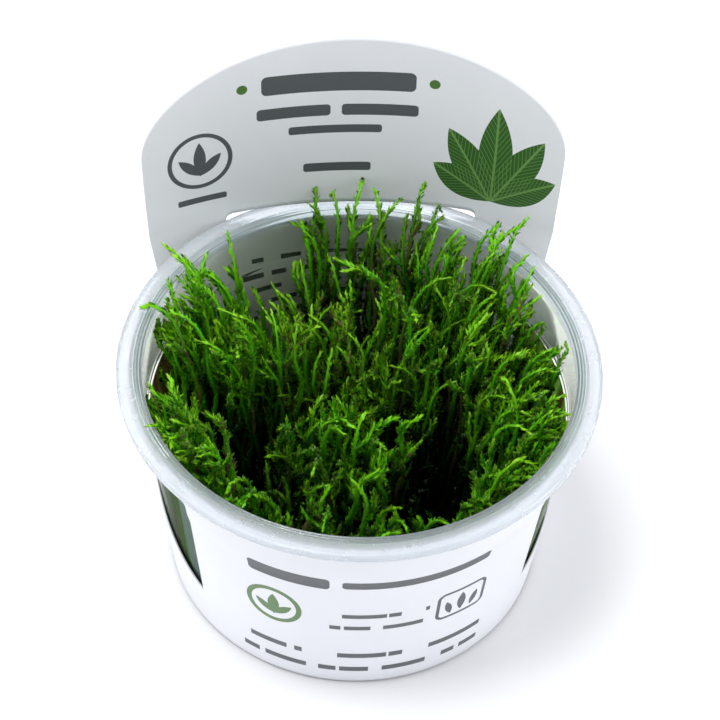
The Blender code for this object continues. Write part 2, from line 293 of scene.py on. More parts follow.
def add_node(tree, kind, inputs=None, out=0, **settings):
    """Add one shader node, set its fields, set or link its inputs, and return one output, or the
    node itself where it has none."""
    node = tree.nodes.new("ShaderNode" + kind)
    for field, value in settings.items():
        setattr(node, field, value)
    for socket, value in (inputs or {}).items():
        if isinstance(value, bpy.types.NodeSocket):
            tree.links.new(value, node.inputs[socket])
        else:
            node.inputs[socket].default_value = value
    return node.outputs[out] if len(node.outputs) else node


def new_material(name):
    """A material with an empty node tree, and that tree."""
    material = bpy.data.materials.new(name)
    material.use_nodes = True
    material.node_tree.nodes.clear()
    return material, material.node_tree


def unit(vectors):
    """Each vector over its own length."""
    return vectors / np.maximum(np.linalg.norm(vectors, axis=-1, keepdims=True), 1e-12)


def ease(value, low, high):
    """0 below low, 1 above high, and three squares less two cubes between them."""
    share = np.clip((value - low) / (high - low), 0.0, 1.0)
    return share * share * (3.0 - 2.0 * share)


# Cup


def outer_wall(height):
    """The outside radius grows in a straight line with height, without the ledge."""
    slope = (WALL_RADIUS_TOP - WALL_RADIUS_BASE) / (WALL_TOP - BASE_CORNER)
    return WALL_RADIUS_BASE + slope * (height - BASE_CORNER)


def inner_wall(height):
    """The outside radius less the wall, half a step narrower below the stacking ledge."""
    half_step = LEDGE_STEP / 2
    step = np.where(np.asarray(height) > LEDGE_HEIGHT, half_step, -half_step)
    return outer_wall(height) - WALL + step


def rounded_line(corners, radius, points=4):
    """A line of straight runs, each corner replaced by the parabola that touches both runs a
    radius away from it, or at 45 % of a shorter run."""
    corners = np.asarray(corners, float)
    line = [corners[:1]]
    for before, corner, after in zip(corners, corners[1:], corners[2:]):
        back, on = before - corner, after - corner
        back *= min(radius / np.linalg.norm(back), 0.45)
        on *= min(radius / np.linalg.norm(on), 0.45)
        share = np.linspace(0.0, 1.0, points)[:, None]
        line.append(corner + back * (1.0 - share) ** 2 + on * share ** 2)
    line.append(corners[-1:])
    return np.concatenate(line)


def turned(profile, steps):
    """A profile of (radius, height) turned about Z: x is radius times the sine of the angle and
    y its cosine. Its two ends lie on the axis and become one point each."""
    angle = np.arange(steps) * math.tau / steps
    radius, height = profile[1:-1, 0], profile[1:-1, 1]
    rings = np.stack([
        np.outer(radius, np.sin(angle)),
        np.outer(radius, np.cos(angle)),
        np.repeat(height[:, None], steps, axis=1),
    ], axis=-1)
    points = np.concatenate([rings.reshape(-1, 3), [[0, 0, profile[0, 1]], [0, 0, profile[-1, 1]]]])
    count = len(radius)
    here = np.arange(steps)
    there = (here + 1) % steps
    row = np.arange(count - 1)[:, None] * steps
    walls = np.stack([row + here, row + there, row + steps + there, row + steps + here], axis=-1)
    first, last = count * steps, count * steps + 1
    low = (count - 1) * steps
    start = np.stack([np.full(steps, first), there, here], axis=-1)
    end = np.stack([np.full(steps, last), low + here, low + there], axis=-1)
    return points, [walls.reshape(-1, 4), start, end]


def cup_profile():
    """Up the inside, over the stepped lip with its rolled edge, down the outside and back in
    under the raised base."""
    top = LIP_HEIGHT
    flat = LIP_FLAT_RADIUS
    half_step = LEDGE_STEP / 2
    low, high = LEDGE_HEIGHT - 0.3 * MM, LEDGE_HEIGHT + 0.3 * MM
    thin = 0.35 * MM
    return np.array([
        (0.0, FLOOR),
        (outer_wall(FLOOR) - WALL - 1.5 * MM, FLOOR),
        (outer_wall(2.8 * MM) - WALL - half_step, 2.8 * MM),
        (outer_wall(low) - WALL - half_step, low),
        (outer_wall(high) - WALL + half_step, high),
        (outer_wall(WALL_TOP) - WALL + half_step, top - 3.6 * MM),
        (flat - 1.85 * MM, top - 2.3 * MM),
        (flat - 1.9 * MM, top - 0.6 * MM),
        (flat - 1.65 * MM, top - 0.35 * MM),
        (flat - 1.35 * MM, top - 0.55 * MM),
        (flat - 1.05 * MM, top - 0.2 * MM),
        (flat - 0.75 * MM, top - 0.4 * MM),
        (flat - 0.4 * MM, top - 0.1 * MM),
        (flat - 0.2 * MM, top - 0.35 * MM),
        (flat, top - 0.05 * MM),
        (flat + 0.5 * MM, top),
        (flat + 0.5 * (LIP_RADIUS - flat), top - 0.12 * MM),
        (LIP_RADIUS - 0.75 * MM, top - 0.04 * MM),
        (LIP_RADIUS - 0.35 * MM, top),
        (LIP_RADIUS, top - 0.4 * MM),
        (LIP_RADIUS, top - 1.5 * MM),
        (LIP_RADIUS - thin, top - 1.5 * MM),
        (LIP_RADIUS - thin - 0.1 * MM, top - 0.6 * MM),
        (flat + 0.5 * MM, top - 0.65 * MM),
        (WALL_RADIUS_TOP, top - 1.9 * MM),
        (outer_wall(high) + half_step, high - 0.3 * MM),
        (outer_wall(low) - half_step, low - 0.3 * MM),
        (outer_wall(BASE_CORNER) - half_step, BASE_CORNER),
        (WALL_RADIUS_BASE - 1.0 * MM, 0.0),
        (WALL_RADIUS_BASE - 2.6 * MM, 0.0),
        (WALL_RADIUS_BASE - 3.2 * MM, 0.45 * MM),
        (0.0, 0.45 * MM),
    ])


def clear_plastic(name, colour, roughness, haze, ripple_depth, ior=1.49):
    """Injection-moulded clear polystyrene: a hard gloss with a faint ripple of the flow, and
    cloudy where it is thick and rolled."""
    material, tree = new_material(name)
    place = add_node(tree, "TexCoord", out="Object")
    ripple = add_node(tree, "TexNoise", {"Vector": place, "Scale": 1.0 / (9.0 * MM), "Detail": 2.0})
    bump = add_node(tree, "Bump", {"Height": ripple, "Strength": 1.0, "Distance": ripple_depth})
    cloud = add_node(tree, "TexNoise", {"Vector": place, "Scale": 1.0 / (3.0 * MM), "Detail": 4.0})
    rough = add_node(tree, "MapRange", {
        "Value": cloud, "From Min": 0.3, "From Max": 0.7,
        "To Min": roughness * 0.6, "To Max": roughness * 1.4})
    surface = add_node(tree, "BsdfPrincipled", {
        "Base Color": colour, "Roughness": rough, "IOR": ior,
        "Transmission Weight": 1.0 - haze, "Normal": bump})
    add_node(tree, "OutputMaterial", {"Surface": surface})
    return material


def pressed_moss():
    """Old moss pressed flat on the wet wall: olive, brown and green streaks that run down it,
    with a strip of bare cloudy gel film beside the front panel."""
    # A streak's size and its lean, and half the blend from film to moss, as angles
    streak = (2.6 * MM, 2.6 * MM, 45.0 * MM)
    lean = 0.1
    blend = 0.01
    material, tree = new_material("moss pressed on the wall")
    place = add_node(tree, "TexCoord", out="Object")
    run = add_node(tree, "Mapping", {
        "Vector": place, "Rotation": (0.0, lean, 0.0), "Scale": [1.0 / size for size in streak]})
    noise = add_node(tree, "TexNoise", {"Vector": run, "Scale": 1.0, "Detail": 2.5})
    ramp = add_node(tree, "ValToRGB", {"Fac": noise})
    stops = ramp.node.color_ramp.elements
    stops[0].position, stops[0].color = 0.38, linear("#33280F")
    stops[1].position, stops[1].color = 0.62, linear("#6C9440")
    for position, shade in ((0.44, "#4A4820"), (0.50, "#34701A"), (0.56, "#566C26")):
        stops.new(position).color = linear(shade)
    across = add_node(tree, "SeparateXYZ", {0: place}, "X")
    across = add_node(tree, "Math", {0: across}, operation="ABSOLUTE")
    ahead = add_node(tree, "SeparateXYZ", {0: place}, "Y")
    ahead = add_node(tree, "Math", {0: ahead, 1: -1.0}, operation="MULTIPLY")
    angle = add_node(tree, "Math", {0: across, 1: ahead}, operation="ARCTAN2")
    moss = add_node(tree, "MapRange", {
        "Value": angle, "From Min": FILM_TO - blend, "From Max": FILM_TO + blend,
        "To Min": 0.0, "To Max": 1.0})
    colour = add_node(tree, "MixRGB", {"Fac": moss, "Color1": linear("#86A09C"), "Color2": ramp})
    surface = add_node(tree, "BsdfPrincipled", {
        "Base Color": colour, "Roughness": 0.6, "IOR": 1.33})
    through = add_node(tree, "BsdfTranslucent", {"Color": colour})
    both = add_node(tree, "MixShader", {"Fac": 0.5, 1: surface, 2: through})
    add_node(tree, "OutputMaterial", {"Surface": both})
    return material


def cup_slots(points, faces):
    """Each face's material slot: the lip by its height, the ring by its radius within the lip,
    and the wet wall by its angle from the front, in an outer and an inner face."""
    middle = np.concatenate([points[part].mean(axis=1) for part in faces])
    low = np.concatenate([points[part][..., 2].min(axis=1) for part in faces])
    radius = np.hypot(middle[:, 0], middle[:, 1])
    from_front = np.arctan2(np.abs(middle[:, 0]), -middle[:, 1])
    wet = (from_front > WET_FROM) & (from_front < WET_TO)
    wet = wet & (low > FLOOR) & (low < LEDGE_HEIGHT - 1.0 * MM)
    inside = radius < outer_wall(middle[:, 2]) - LEDGE_STEP / 2 - WALL / 2
    in_lip = low > LIP_HEIGHT - LIP_DEPTH
    cases = [in_lip & (radius < LIP_FLAT_RADIUS), in_lip, wet & inside, wet]
    return np.select(cases, [RING, LIP, PRESSED, WET], PLAIN).astype(np.int32)


class MOSSCUP_OT_cup(bpy.types.Operator):
    """Turn the clear cup"""
    bl_idname = "moss_cup.make_cup"
    bl_label = "Make cup"

    def execute(self, context):
        settings = context.scene.moss_cup_cup
        profile = rounded_line(cup_profile(), settings.corner)
        points, faces = turned(profile, settings.steps)
        skin = (settings.colour, settings.roughness, 0.0)
        finishes = {
            PLAIN: clear_plastic("moulded clear plastic", *skin, 0.012 * MM),
            LIP: clear_plastic(
                "hazy rolled plastic lip", settings.lip_colour, 0.22, settings.lip_haze, 0.004 * MM),
            # Wet moss against the wall takes its glare away. A low index draws that.
            WET: clear_plastic("wetted clear plastic", *skin, 0.004 * MM, settings.wet_ior),
            PRESSED: pressed_moss(),
            RING: clear_plastic("clear stepped ring", settings.ring_colour, 0.15, 0.2, 0.004 * MM),
        }
        cup = new_piece("clear_cup", points, faces, finishes.values())
        cup.data.polygons.foreach_set("material_index", cup_slots(points, faces))
        cup.data.shade_smooth()
        cup.data.set_sharp_from_angle(angle=math.radians(50.0))
        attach(cup, "root")
        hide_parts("cup")
        return {"FINISHED"}


# Card sleeve


def card_radius(height):
    """The card lies on the wall with a small gap, and eases out over the stacking ledge."""
    step = LEDGE_STEP * (ease(height, LEDGE_HEIGHT - 5.0 * MM, LEDGE_HEIGHT - 1.0 * MM) - 0.5)
    return outer_wall(height) + step + CARD_GAP


HEADER_EDGE = HEADER_HALF_WIDTH / card_radius(LIP_HEIGHT)
SLOT_EDGE = SLOT_HALF_WIDTH / card_radius(LIP_HEIGHT)


def card_points(angle, height):
    """The card's inner face. The angle runs from the middle of the back.

    Low down it follows the cup. Towards the lip the back part springs to an arc of larger
    radius, by a smooth ramp in height and in angle, and above the lip it leans back.
    """
    radius = card_radius(np.minimum(height, LIP_HEIGHT))
    back = radius + HEADER_LEAN * np.maximum(height - LIP_HEIGHT, 0.0)
    arc = radius * angle / HEADER_CURVE_RADIUS
    waist = 1.0 - HEADER_WAIST * ease(HEADER_SHOULDER - height, 0.0, HEADER_WAIST_DROP)
    flat_x = HEADER_CURVE_RADIUS * np.sin(arc) * waist
    flat_y = back - HEADER_CURVE_RADIUS * (1.0 - np.cos(arc))
    spring = ease(height, CARD_SPRING_LOW, LIP_HEIGHT)
    spring = spring * (1.0 - ease(np.abs(angle), CARD_SPRING_FULL, CARD_SPRING_NONE))
    x = back * np.sin(angle) * (1.0 - spring) + flat_x * spring
    y = back * np.cos(angle) * (1.0 - spring) + flat_y * spring
    cos, sin = math.cos(CARD_TURN), math.sin(CARD_TURN)
    return np.stack([x * cos - y * sin, x * sin + y * cos, height + 0.0 * x], axis=-1)


def window_tip(angle):
    """The angle of the front panel's edge, on the side that the given angle lies on."""
    return math.pi - FRONT_HALF_ANGLE - FRONT_SKEW * np.where(angle < 0.0, -1.0, 1.0)


def band_top(angle):
    """The band sweeps down from the header to the window's tip as a power of the way."""
    tip = window_tip(angle)
    share = (tip - np.clip(np.abs(angle), HEADER_EDGE, tip)) / (tip - HEADER_EDGE)
    return WINDOW_LOW + (HEADER_EAR - WINDOW_LOW) * share ** 1.3


def header_top(angle):
    """Half an ellipse over straight sides."""
    share = np.clip(np.abs(angle) / HEADER_EDGE, 0.0, 1.0)
    rise = CAD_BOX[1].z - HEADER_SHOULDER
    return HEADER_SHOULDER + rise * np.sqrt(1.0 - share * share)


def quarter_round(past, radius):
    """How far a quarter circle has risen, past its start, up to its radius."""
    left = np.clip(radius - past, 0.0, radius)
    return np.sqrt(radius ** 2 - left ** 2)


def front_top(angle):
    """A level edge with a quarter circle at the end of each ear."""
    past = (np.abs(angle) - window_tip(angle) + EAR_ANGLE) * card_radius(FRONT_TOP)
    return FRONT_TOP - FRONT_CORNER + quarter_round(past, FRONT_CORNER)


def ear_bottom(angle):
    """The ears' lower edge, which a quarter circle joins to the panel's edge."""
    past = (window_tip(angle) - np.abs(angle)) * card_radius(EAR_LOW)
    return EAR_LOW - WINDOW_CORNER + quarter_round(past, WINDOW_CORNER)


def slot_edge(angle, side):
    """The slot's upper (1) or lower (-1) edge: level, with half-round ends, and closed past them."""
    half = (SLOT_TOP - SLOT_BOTTOM) / 2
    past = np.abs(angle) * card_radius(LIP_HEIGHT) - (SLOT_HALF_WIDTH - half)
    share = np.clip(past / half, 0.0, 1.0)
    return (SLOT_TOP + SLOT_BOTTOM) / 2 + side * half * np.sqrt(1.0 - share * share)


def spread(low, high, count, ends=False):
    """Angles from low to high, closer together near high when ends is true."""
    share = np.linspace(0.0, 1.0, count)
    if ends:
        share = np.sin(share * math.pi / 2)
    return low + (high - low) * share


def half_columns(side):
    """Angles from the middle of the back to the middle of the front on one side, 1 or -1."""
    half = (SLOT_TOP - SLOT_BOTTOM) / 2
    round_end = (SLOT_HALF_WIDTH - half) / card_radius(LIP_HEIGHT)
    tip = float(window_tip(side))
    ear = tip - EAR_ANGLE
    corner = WINDOW_CORNER / card_radius(EAR_LOW)
    turn = corner * (1.0 - np.cos(np.linspace(0.0, math.pi / 2, 9)))
    angles = np.concatenate([
        spread(0.0, round_end, 40),
        spread(round_end, SLOT_EDGE, 10, True),
        spread(SLOT_EDGE, HEADER_EDGE, 30, True),
        spread(HEADER_EDGE, ear, 60),
        ear + turn,
        spread(ear + corner, tip - corner, 5),
        tip - turn[::-1],
        spread(tip, math.pi, 60),
    ])
    return side * np.unique(np.round(angles, 7))


def sleeve_sheet():
    """The sleeve's inner face as five grids of columns by rows, and each point's print place.

    The print place is the way round from the middle of the back, or of the front for the
    front half, and the height, both in millimetres.
    """
    columns = np.concatenate([half_columns(-1.0)[:0:-1], half_columns(1.0)])
    near = 1e-5

    def level(height):
        return lambda angle: height + 0.0 * angle

    def everywhere(angle):
        return np.ones(angle.shape, bool)

    def on_header(angle):
        return np.abs(angle) <= HEADER_EDGE + near

    def on_panel(angle):
        return np.abs(angle) >= window_tip(angle) - near

    def on_ears(angle):
        return np.abs(angle) >= window_tip(angle) - EAR_ANGLE - near

    stretches = [
        (24, level(BAND_BOTTOM), band_top, everywhere),
        (8, band_top, lambda angle: slot_edge(angle, -1), on_header),
        (40, lambda angle: slot_edge(angle, 1), header_top, on_header),
        (26, band_top, level(EAR_LOW - WINDOW_CORNER), on_panel),
        (10, ear_bottom, front_top, on_ears),
    ]
    points, places, faces, offset = [], [], [], 0
    for rows, bottom, top, belongs in stretches:
        inside = belongs(columns)
        angle = columns[inside]
        share = np.linspace(0.0, 1.0, rows + 1)
        height = bottom(angle)[:, None] * (1.0 - share) + top(angle)[:, None] * share
        grid = np.repeat(angle[:, None], rows + 1, axis=1)
        points.append(card_points(grid, height).reshape(-1, 3))
        radius = card_radius(LIP_HEIGHT) / MM
        front = (math.pi - np.abs(grid)) * np.sign(grid)
        across = np.where(np.abs(grid) > math.pi / 2, front, grid) * radius
        places.append(np.stack([across, height / MM], axis=-1).reshape(-1, 2))
        number = np.cumsum(inside) - 1
        next_to = inside[:-1] & inside[1:]
        here = number[:-1][next_to][:, None] * (rows + 1) + np.arange(rows) + offset
        there = number[1:][next_to][:, None] * (rows + 1) + np.arange(rows) + offset
        faces.append(np.stack([here, here + 1, there + 1, there], axis=-1).reshape(-1, 4))
        offset += len(points[-1])
    return np.concatenate(points), np.concatenate(places), faces


def past_inner_box(tree, place, centre, size, corner):
    """How far a place lies past the box that is smaller by the corner's radius on all sides. It
    equals that radius all along the edge of the box with round corners."""
    inner = (size[0] / 2 - corner, size[1] / 2 - corner, 0.0)
    off = add_node(tree, "VectorMath", {0: place, 1: (*centre, 0.0)}, operation="SUBTRACT")
    off = add_node(tree, "VectorMath", {0: off}, operation="ABSOLUTE")
    off = add_node(tree, "VectorMath", {0: off, 1: inner}, operation="SUBTRACT")
    off = add_node(tree, "VectorMath", {0: off, 1: (0.0, 0.0, 0.0)}, operation="MAXIMUM")
    return add_node(tree, "VectorMath", {0: off}, "Value", operation="LENGTH")


def solid_box(tree, place, centre, size, corner):
    """1 inside a box with round corners, from its centre, size and corner radius."""
    far = past_inner_box(tree, place, centre, size, corner)
    return add_node(tree, "Math", {0: far, 1: corner}, operation="LESS_THAN")


def frame_box(tree, place, centre, size, corner, stroke):
    """1 within half the stroke of the edge of a box with round corners."""
    far = past_inner_box(tree, place, centre, size, corner)
    return add_node(tree, "Math", {0: far, 1: corner, 2: stroke / 2}, operation="COMPARE")


def leaf_mark(tree, place, foot, length, width, lean):
    """A pointed oval that grows from foot at a lean from upright: 1 where, in its own axes, the
    square of the way along plus the way across is under one. Returns it, the way across and the
    way along."""
    middle = (
        foot[0] + math.sin(lean) * length / 2,
        foot[1] + math.cos(lean) * length / 2,
        0.0,
    )
    own = add_node(tree, "Mapping", {
        "Vector": place, "Location": middle, "Rotation": (0.0, 0.0, -lean),
        "Scale": (width / 2, length / 2, 1.0)}, vector_type="TEXTURE")
    x = add_node(tree, "SeparateXYZ", {0: own}, "X")
    y = add_node(tree, "SeparateXYZ", {0: own}, "Y")
    x = add_node(tree, "Math", {0: x}, operation="ABSOLUTE")
    rim = add_node(tree, "Math", {0: y, 1: y, 2: x}, operation="MULTIPLY_ADD")
    return add_node(tree, "Math", {0: rim, 1: 1.0}, operation="LESS_THAN"), x, y


def word_rows(tree, place, centre, size, pitch, word=5.0):
    """Rows of bars of unequal length: a band of each row where a slow noise is high. The rows
    read that noise far apart, so that no two are alike."""
    row_step = 7.31
    x = add_node(tree, "SeparateXYZ", {0: place}, "X")
    y = add_node(tree, "SeparateXYZ", {0: place}, "Y")
    y = add_node(tree, "Math", {0: y, 1: centre[1] - size[1] / 2}, operation="SUBTRACT")
    row = add_node(tree, "Math", {0: y, 1: 1.0 / pitch}, operation="MULTIPLY")
    number = add_node(tree, "Math", {0: row}, operation="FLOOR")
    level = add_node(tree, "Math", {0: row}, operation="FRACT")
    bar = add_node(tree, "Math", {0: level, 1: BAR_SHARE}, operation="LESS_THAN")
    seat = add_node(tree, "CombineXYZ", {"X": x, "Y": number})
    scale = (1.0 / word, row_step, 0.0)
    seat = add_node(tree, "VectorMath", {0: seat, 1: scale}, operation="MULTIPLY")
    noise = add_node(tree, "TexNoise", {"Vector": seat, "Scale": 1.0, "Detail": 1.0})
    ink = add_node(tree, "Math", {0: noise, 1: BAR_NOISE}, operation="GREATER_THAN")
    ink = add_node(tree, "Math", {0: ink, 1: bar}, operation="MULTIPLY")
    inside = solid_box(tree, place, centre, size, 0.2)
    return add_node(tree, "Math", {0: ink, 1: inside}, operation="MULTIPLY")


def ring_mark(tree, place, centre, radius, stroke):
    """1 where the way from the centre is the radius, give or take half the stroke."""
    off = add_node(tree, "VectorMath", {0: place, 1: (*centre, 0.0)}, operation="SUBTRACT")
    far = add_node(tree, "VectorMath", {0: off}, "Value", operation="LENGTH")
    return add_node(tree, "Math", {0: far, 1: radius, 2: stroke / 2}, operation="COMPARE")


def any_of(tree, marks):
    """1 where any of the marks is."""
    total = marks[0]
    for mark in marks[1:]:
        total = add_node(tree, "Math", {0: total, 1: mark}, operation="MAXIMUM")
    return total


def header_marks(tree, place):
    """Generic marks of the header and the back: bars, dots, a ring with a sprig and a fan of
    leaves. Returns the grey ones, the green ones, the fan and the fan's veins.

    All are in millimetres on the flat card. A box has its centre, size and corner, a leaf its
    foot, length, width and lean, and a ring its centre, radius and stroke.
    """
    bars = (
        ((-3.0, 86.2), (31.0, 4.6), 1.2),
        ((-12.0, 79.2), (15.0, 2.8), 0.8),
        ((5.5, 79.2), (15.5, 2.8), 0.8),
        ((-3.5, 74.4), (19.0, 2.0), 0.6),
        ((-3.0, 64.6), (14.0, 2.2), 0.6),
        ((-31.5, 60.6), (10.5, 1.5), 0.4),
    )
    sprig = (
        ((-31.5, 66.6), 8.6, 2.6, 0.0),
        ((-31.5, 66.8), 6.6, 2.2, 0.75),
        ((-31.5, 66.8), 6.6, 2.2, -0.75),
    )
    dots = (((16.2, 86.2), (2.2, 2.2), 1.09), ((-22.4, 86.2), (2.2, 2.2), 1.09))
    grey = [solid_box(tree, place, *bar) for bar in bars]
    grey += [leaf_mark(tree, place, *leaf)[0] for leaf in sprig]
    grey.append(ring_mark(tree, place, (-31.5, 70.5), 6.4, 0.95))
    grey.append(word_rows(tree, place, (-9.0, 36.0), (34.0, 17.0), 3.5))
    green = [solid_box(tree, place, *dot) for dot in dots]
    # A middle rib, and side veins that slant up from it, seven to each half of a leaf's length
    leaves, veins = [], []
    for lean, length in ((-1.0, 15.0), (1.0, 15.5), (-0.52, 20.0), (0.5, 20.5), (0.0, 24.0)):
        inside, x, y = leaf_mark(tree, place, (29.5, 58.5), length, 7.0, lean)
        leaves.append(inside)
        slant = add_node(tree, "Math", {0: x, 1: -0.55, 2: y}, operation="MULTIPLY_ADD")
        slant = add_node(tree, "Math", {0: slant, 1: 7.0}, operation="MULTIPLY")
        slant = add_node(tree, "Math", {0: slant}, operation="FRACT")
        side = add_node(tree, "Math", {0: slant, 1: 0.16}, operation="LESS_THAN")
        rib = add_node(tree, "Math", {0: x, 1: 0.07}, operation="LESS_THAN")
        vein = add_node(tree, "Math", {0: side, 1: rib}, operation="MAXIMUM")
        veins.append(add_node(tree, "Math", {0: vein, 1: inside}, operation="MULTIPLY"))
    return grey, green, leaves, veins


def front_marks(tree, place):
    """Generic marks of the front panel: a bold and a thin bar, a green ring with a sprig, a
    frame with leaves and two blocks of bars. Returns the grey ones and the green ones."""
    bars = (((-16.0, 38.6), (17.0, 4.2), 1.0), ((10.5, 38.6), (31.0, 2.8), 0.8))
    framed = (
        ((21.0, 21.6), 6.4, 2.0, 0.0),
        ((18.6, 21.6), 5.0, 1.6, -0.25),
        ((23.4, 21.6), 5.0, 1.6, 0.25),
    )
    sprig = (
        ((-19.5, 22.4), 7.4, 2.6, 0.0),
        ((-19.5, 22.8), 5.6, 2.0, 0.8),
        ((-19.5, 22.8), 5.6, 2.0, -0.8),
    )
    grey = [solid_box(tree, place, *bar) for bar in bars]
    grey += [leaf_mark(tree, place, *leaf)[0] for leaf in framed]
    grey.append(frame_box(tree, place, (21.0, 25.0), (11.0, 9.0), 1.6, 0.8))
    grey.append(word_rows(tree, place, (3.0, 26.0), (21.0, 9.0), 4.5, 6.0))
    grey.append(word_rows(tree, place, (0.0, 10.2), (56.0, 11.0), 5.5, 7.0))
    green = [leaf_mark(tree, place, *leaf)[0] for leaf in sprig]
    green.append(ring_mark(tree, place, (-19.5, 26.0), 5.6, 1.2))
    return grey, green


def printed_card(settings, name, marks, side):
    """Clay-coated solid bleached board: a satin white skin over faint fibres, printed in matt
    inks, which sit flat in the coat. The print is at the back half where side is GREATER_THAN,
    and at the front half where it is LESS_THAN."""
    material, tree = new_material(name)
    place = add_node(tree, "UVMap", uv_map="print_mm")
    solid = add_node(tree, "TexCoord", out="Object")
    # The real fibres are near 0.05 mm wide. They are drawn at 0.4 mm, so that they show.
    fibre = add_node(tree, "TexNoise", {"Vector": solid, "Scale": 1.0 / (0.4 * MM), "Detail": 3.0})
    cloud = add_node(tree, "TexNoise", {"Vector": solid, "Scale": 1.0 / (22.0 * MM), "Detail": 2.0})
    bright = add_node(tree, "MapRange", {
        "Value": cloud, "From Min": 0.3, "From Max": 0.7, "To Min": 0.965, "To Max": 1.0})
    colour = add_node(tree, "HueSaturation", {"Value": bright, "Color": settings.card_colour})
    y = add_node(tree, "SeparateXYZ", {0: solid}, "Y")
    printed = add_node(tree, "Math", {0: y, 1: 0.0}, operation=side)
    inks = (settings.grey_ink, settings.green_ink, linear("#35602A"), linear("#6F9A55"))
    masks = []
    for shapes, ink in zip(marks(tree, place), inks):
        mask = any_of(tree, shapes)
        mask = add_node(tree, "Math", {0: mask, 1: printed}, operation="MULTIPLY")
        colour = add_node(tree, "MixRGB", {"Fac": mask, "Color1": colour, "Color2": ink})
        masks.append(mask)
    bump = add_node(tree, "Bump", {"Height": fibre, "Strength": 0.12, "Distance": 0.02 * MM})
    rough = add_node(tree, "MapRange", {
        "Value": masks[0], "From Min": 0.0, "From Max": 1.0, "To Min": 0.34, "To Max": 0.5})
    surface = add_node(tree, "BsdfPrincipled", {
        "Base Color": colour, "Roughness": rough, "Normal": bump, "IOR": 1.5,
        "Coat Weight": 0.15, "Coat Roughness": 0.2})
    add_node(tree, "OutputMaterial", {"Surface": surface})
    return material


class MOSSCUP_OT_sleeve(bpy.types.Operator):
    """Bend and print the card sleeve"""
    bl_idname = "moss_cup.make_sleeve"
    bl_label = "Make sleeve"

    def execute(self, context):
        settings = context.scene.moss_cup_sleeve
        points, places, faces = sleeve_sheet()
        inside = printed_card(
            settings, "coated card, printed inside at the back", header_marks, "GREATER_THAN")
        outside = printed_card(
            settings, "coated card, printed outside at the front", front_marks, "LESS_THAN")
        sleeve = new_piece("printed_sleeve", points, faces, [outside, inside])
        mesh = sleeve.data
        layer = mesh.uv_layers.new(name="print_mm")
        corner = np.empty(len(mesh.loops), np.int32)
        mesh.loops.foreach_get("vertex_index", corner)
        layer.uv.foreach_set("vector", places[corner].astype(np.float32).ravel())
        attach(sleeve, "root")
        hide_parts("card_sleeve")
        weld = sleeve.modifiers.new("rows that two stretches share", "WELD")
        weld.merge_threshold = 0.005 * MM
        sheet = sleeve.modifiers.new("thickness of the card", "SOLIDIFY")
        sheet.thickness = settings.thickness
        sheet.offset = 1.0
        sheet.use_even_offset = True
        sheet.material_offset = 1
        mesh.shade_smooth()
        return {"FINISHED"}


# Gel and moss


def nutrient_gel(settings):
    """Clear gellan gel: nearly water, with soft clouds. Its dark olive colour is partly its own tint
    and partly painted shade of the cup's deep bottom.
    """
    material, tree = new_material("clear nutrient gel")
    place = add_node(tree, "TexCoord", out="Object")
    cloud = add_node(tree, "TexNoise", {"Vector": place, "Scale": 1.0 / (6.0 * MM), "Detail": 3.0})
    bump = add_node(tree, "Bump", {"Height": cloud, "Strength": 0.3, "Distance": 0.3 * MM})
    surface = add_node(tree, "BsdfPrincipled", {
        "Base Color": settings.gel_tint_and_painted_shade, "Roughness": 0.12, "IOR": 1.34,
        "Transmission Weight": 1.0, "Normal": bump})
    add_node(tree, "OutputMaterial", {"Surface": surface})
    return material


class MOSSCUP_OT_gel(bpy.types.Operator):
    """Cast the disc of gel"""
    bl_idname = "moss_cup.make_gel"
    bl_label = "Make gel"

    def execute(self, context):
        low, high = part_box("gel_disc")
        bottom, top = low.z, high.z
        corner = 3.2 * MM
        line = rounded_line([
            (0.0, top),
            (inner_wall(top) - GEL_GAP - 1.2 * MM, top),
            (inner_wall(top) - GEL_GAP, top + 0.35 * MM),
            (inner_wall(corner) - GEL_GAP, corner),
            (inner_wall(corner) - GEL_GAP - 1.6 * MM, bottom),
            (0.0, bottom),
        ], 0.5 * MM)
        points, faces = turned(line, 96)
        gel = new_piece("nutrient_gel", points, faces, [nutrient_gel(context.scene.moss_cup_moss)])
        gel.data.shade_smooth()
        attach(gel, "root")
        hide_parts("gel_disc")
        return {"FINISHED"}


def hold_in_cup(paths):
    """Pull a shoot's middle line in to a limit: a leaf's width inside the wall and the lip, and
    above the lip further out the higher it is."""
    height = paths[..., 2]
    in_wall = inner_wall(height) - 0.55 * MM
    limit = np.where(height < NECK_HEIGHT, in_wall, LIP_FLAT_RADIUS - 2.6 * MM)
    limit = limit + np.interp(
        height - LIP_HEIGHT, [0.1 * MM, 0.7 * MM, 1.6 * MM, 3.2 * MM],
        [0.0, 1.4 * MM, 3.0 * MM, 4.8 * MM])
    radius = np.hypot(paths[..., 0], paths[..., 1])
    share = np.minimum(limit / np.maximum(radius, 1e-9), 1.0)
    return np.concatenate([paths[..., :2] * share[..., None], height[..., None]], axis=-1)


def press_on_wall(points):
    """Flatten leaves that reach the wet wall. Past its inner face their radius grows by a
    hyperbolic tangent that never passes 0.12 mm, so the leaves keep their order."""
    most, softness = 0.12 * MM, 0.5 * MM
    height = points[:, 2]
    radius = np.hypot(points[:, 0], points[:, 1])
    wall = inner_wall(height) - 0.04 * MM
    wall = np.where(height < NECK_HEIGHT, wall, LIP_FLAT_RADIUS - 2.0 * MM)
    wall = np.where(height < LIP_HEIGHT + 0.1 * MM, wall, np.inf)
    past = np.maximum(radius - wall, 0.0)
    pressed = np.minimum(radius, wall) + most * np.tanh(past / softness)
    share = pressed / np.maximum(radius, 1e-9)
    return np.column_stack([points[:, 0] * share, points[:, 1] * share, height])


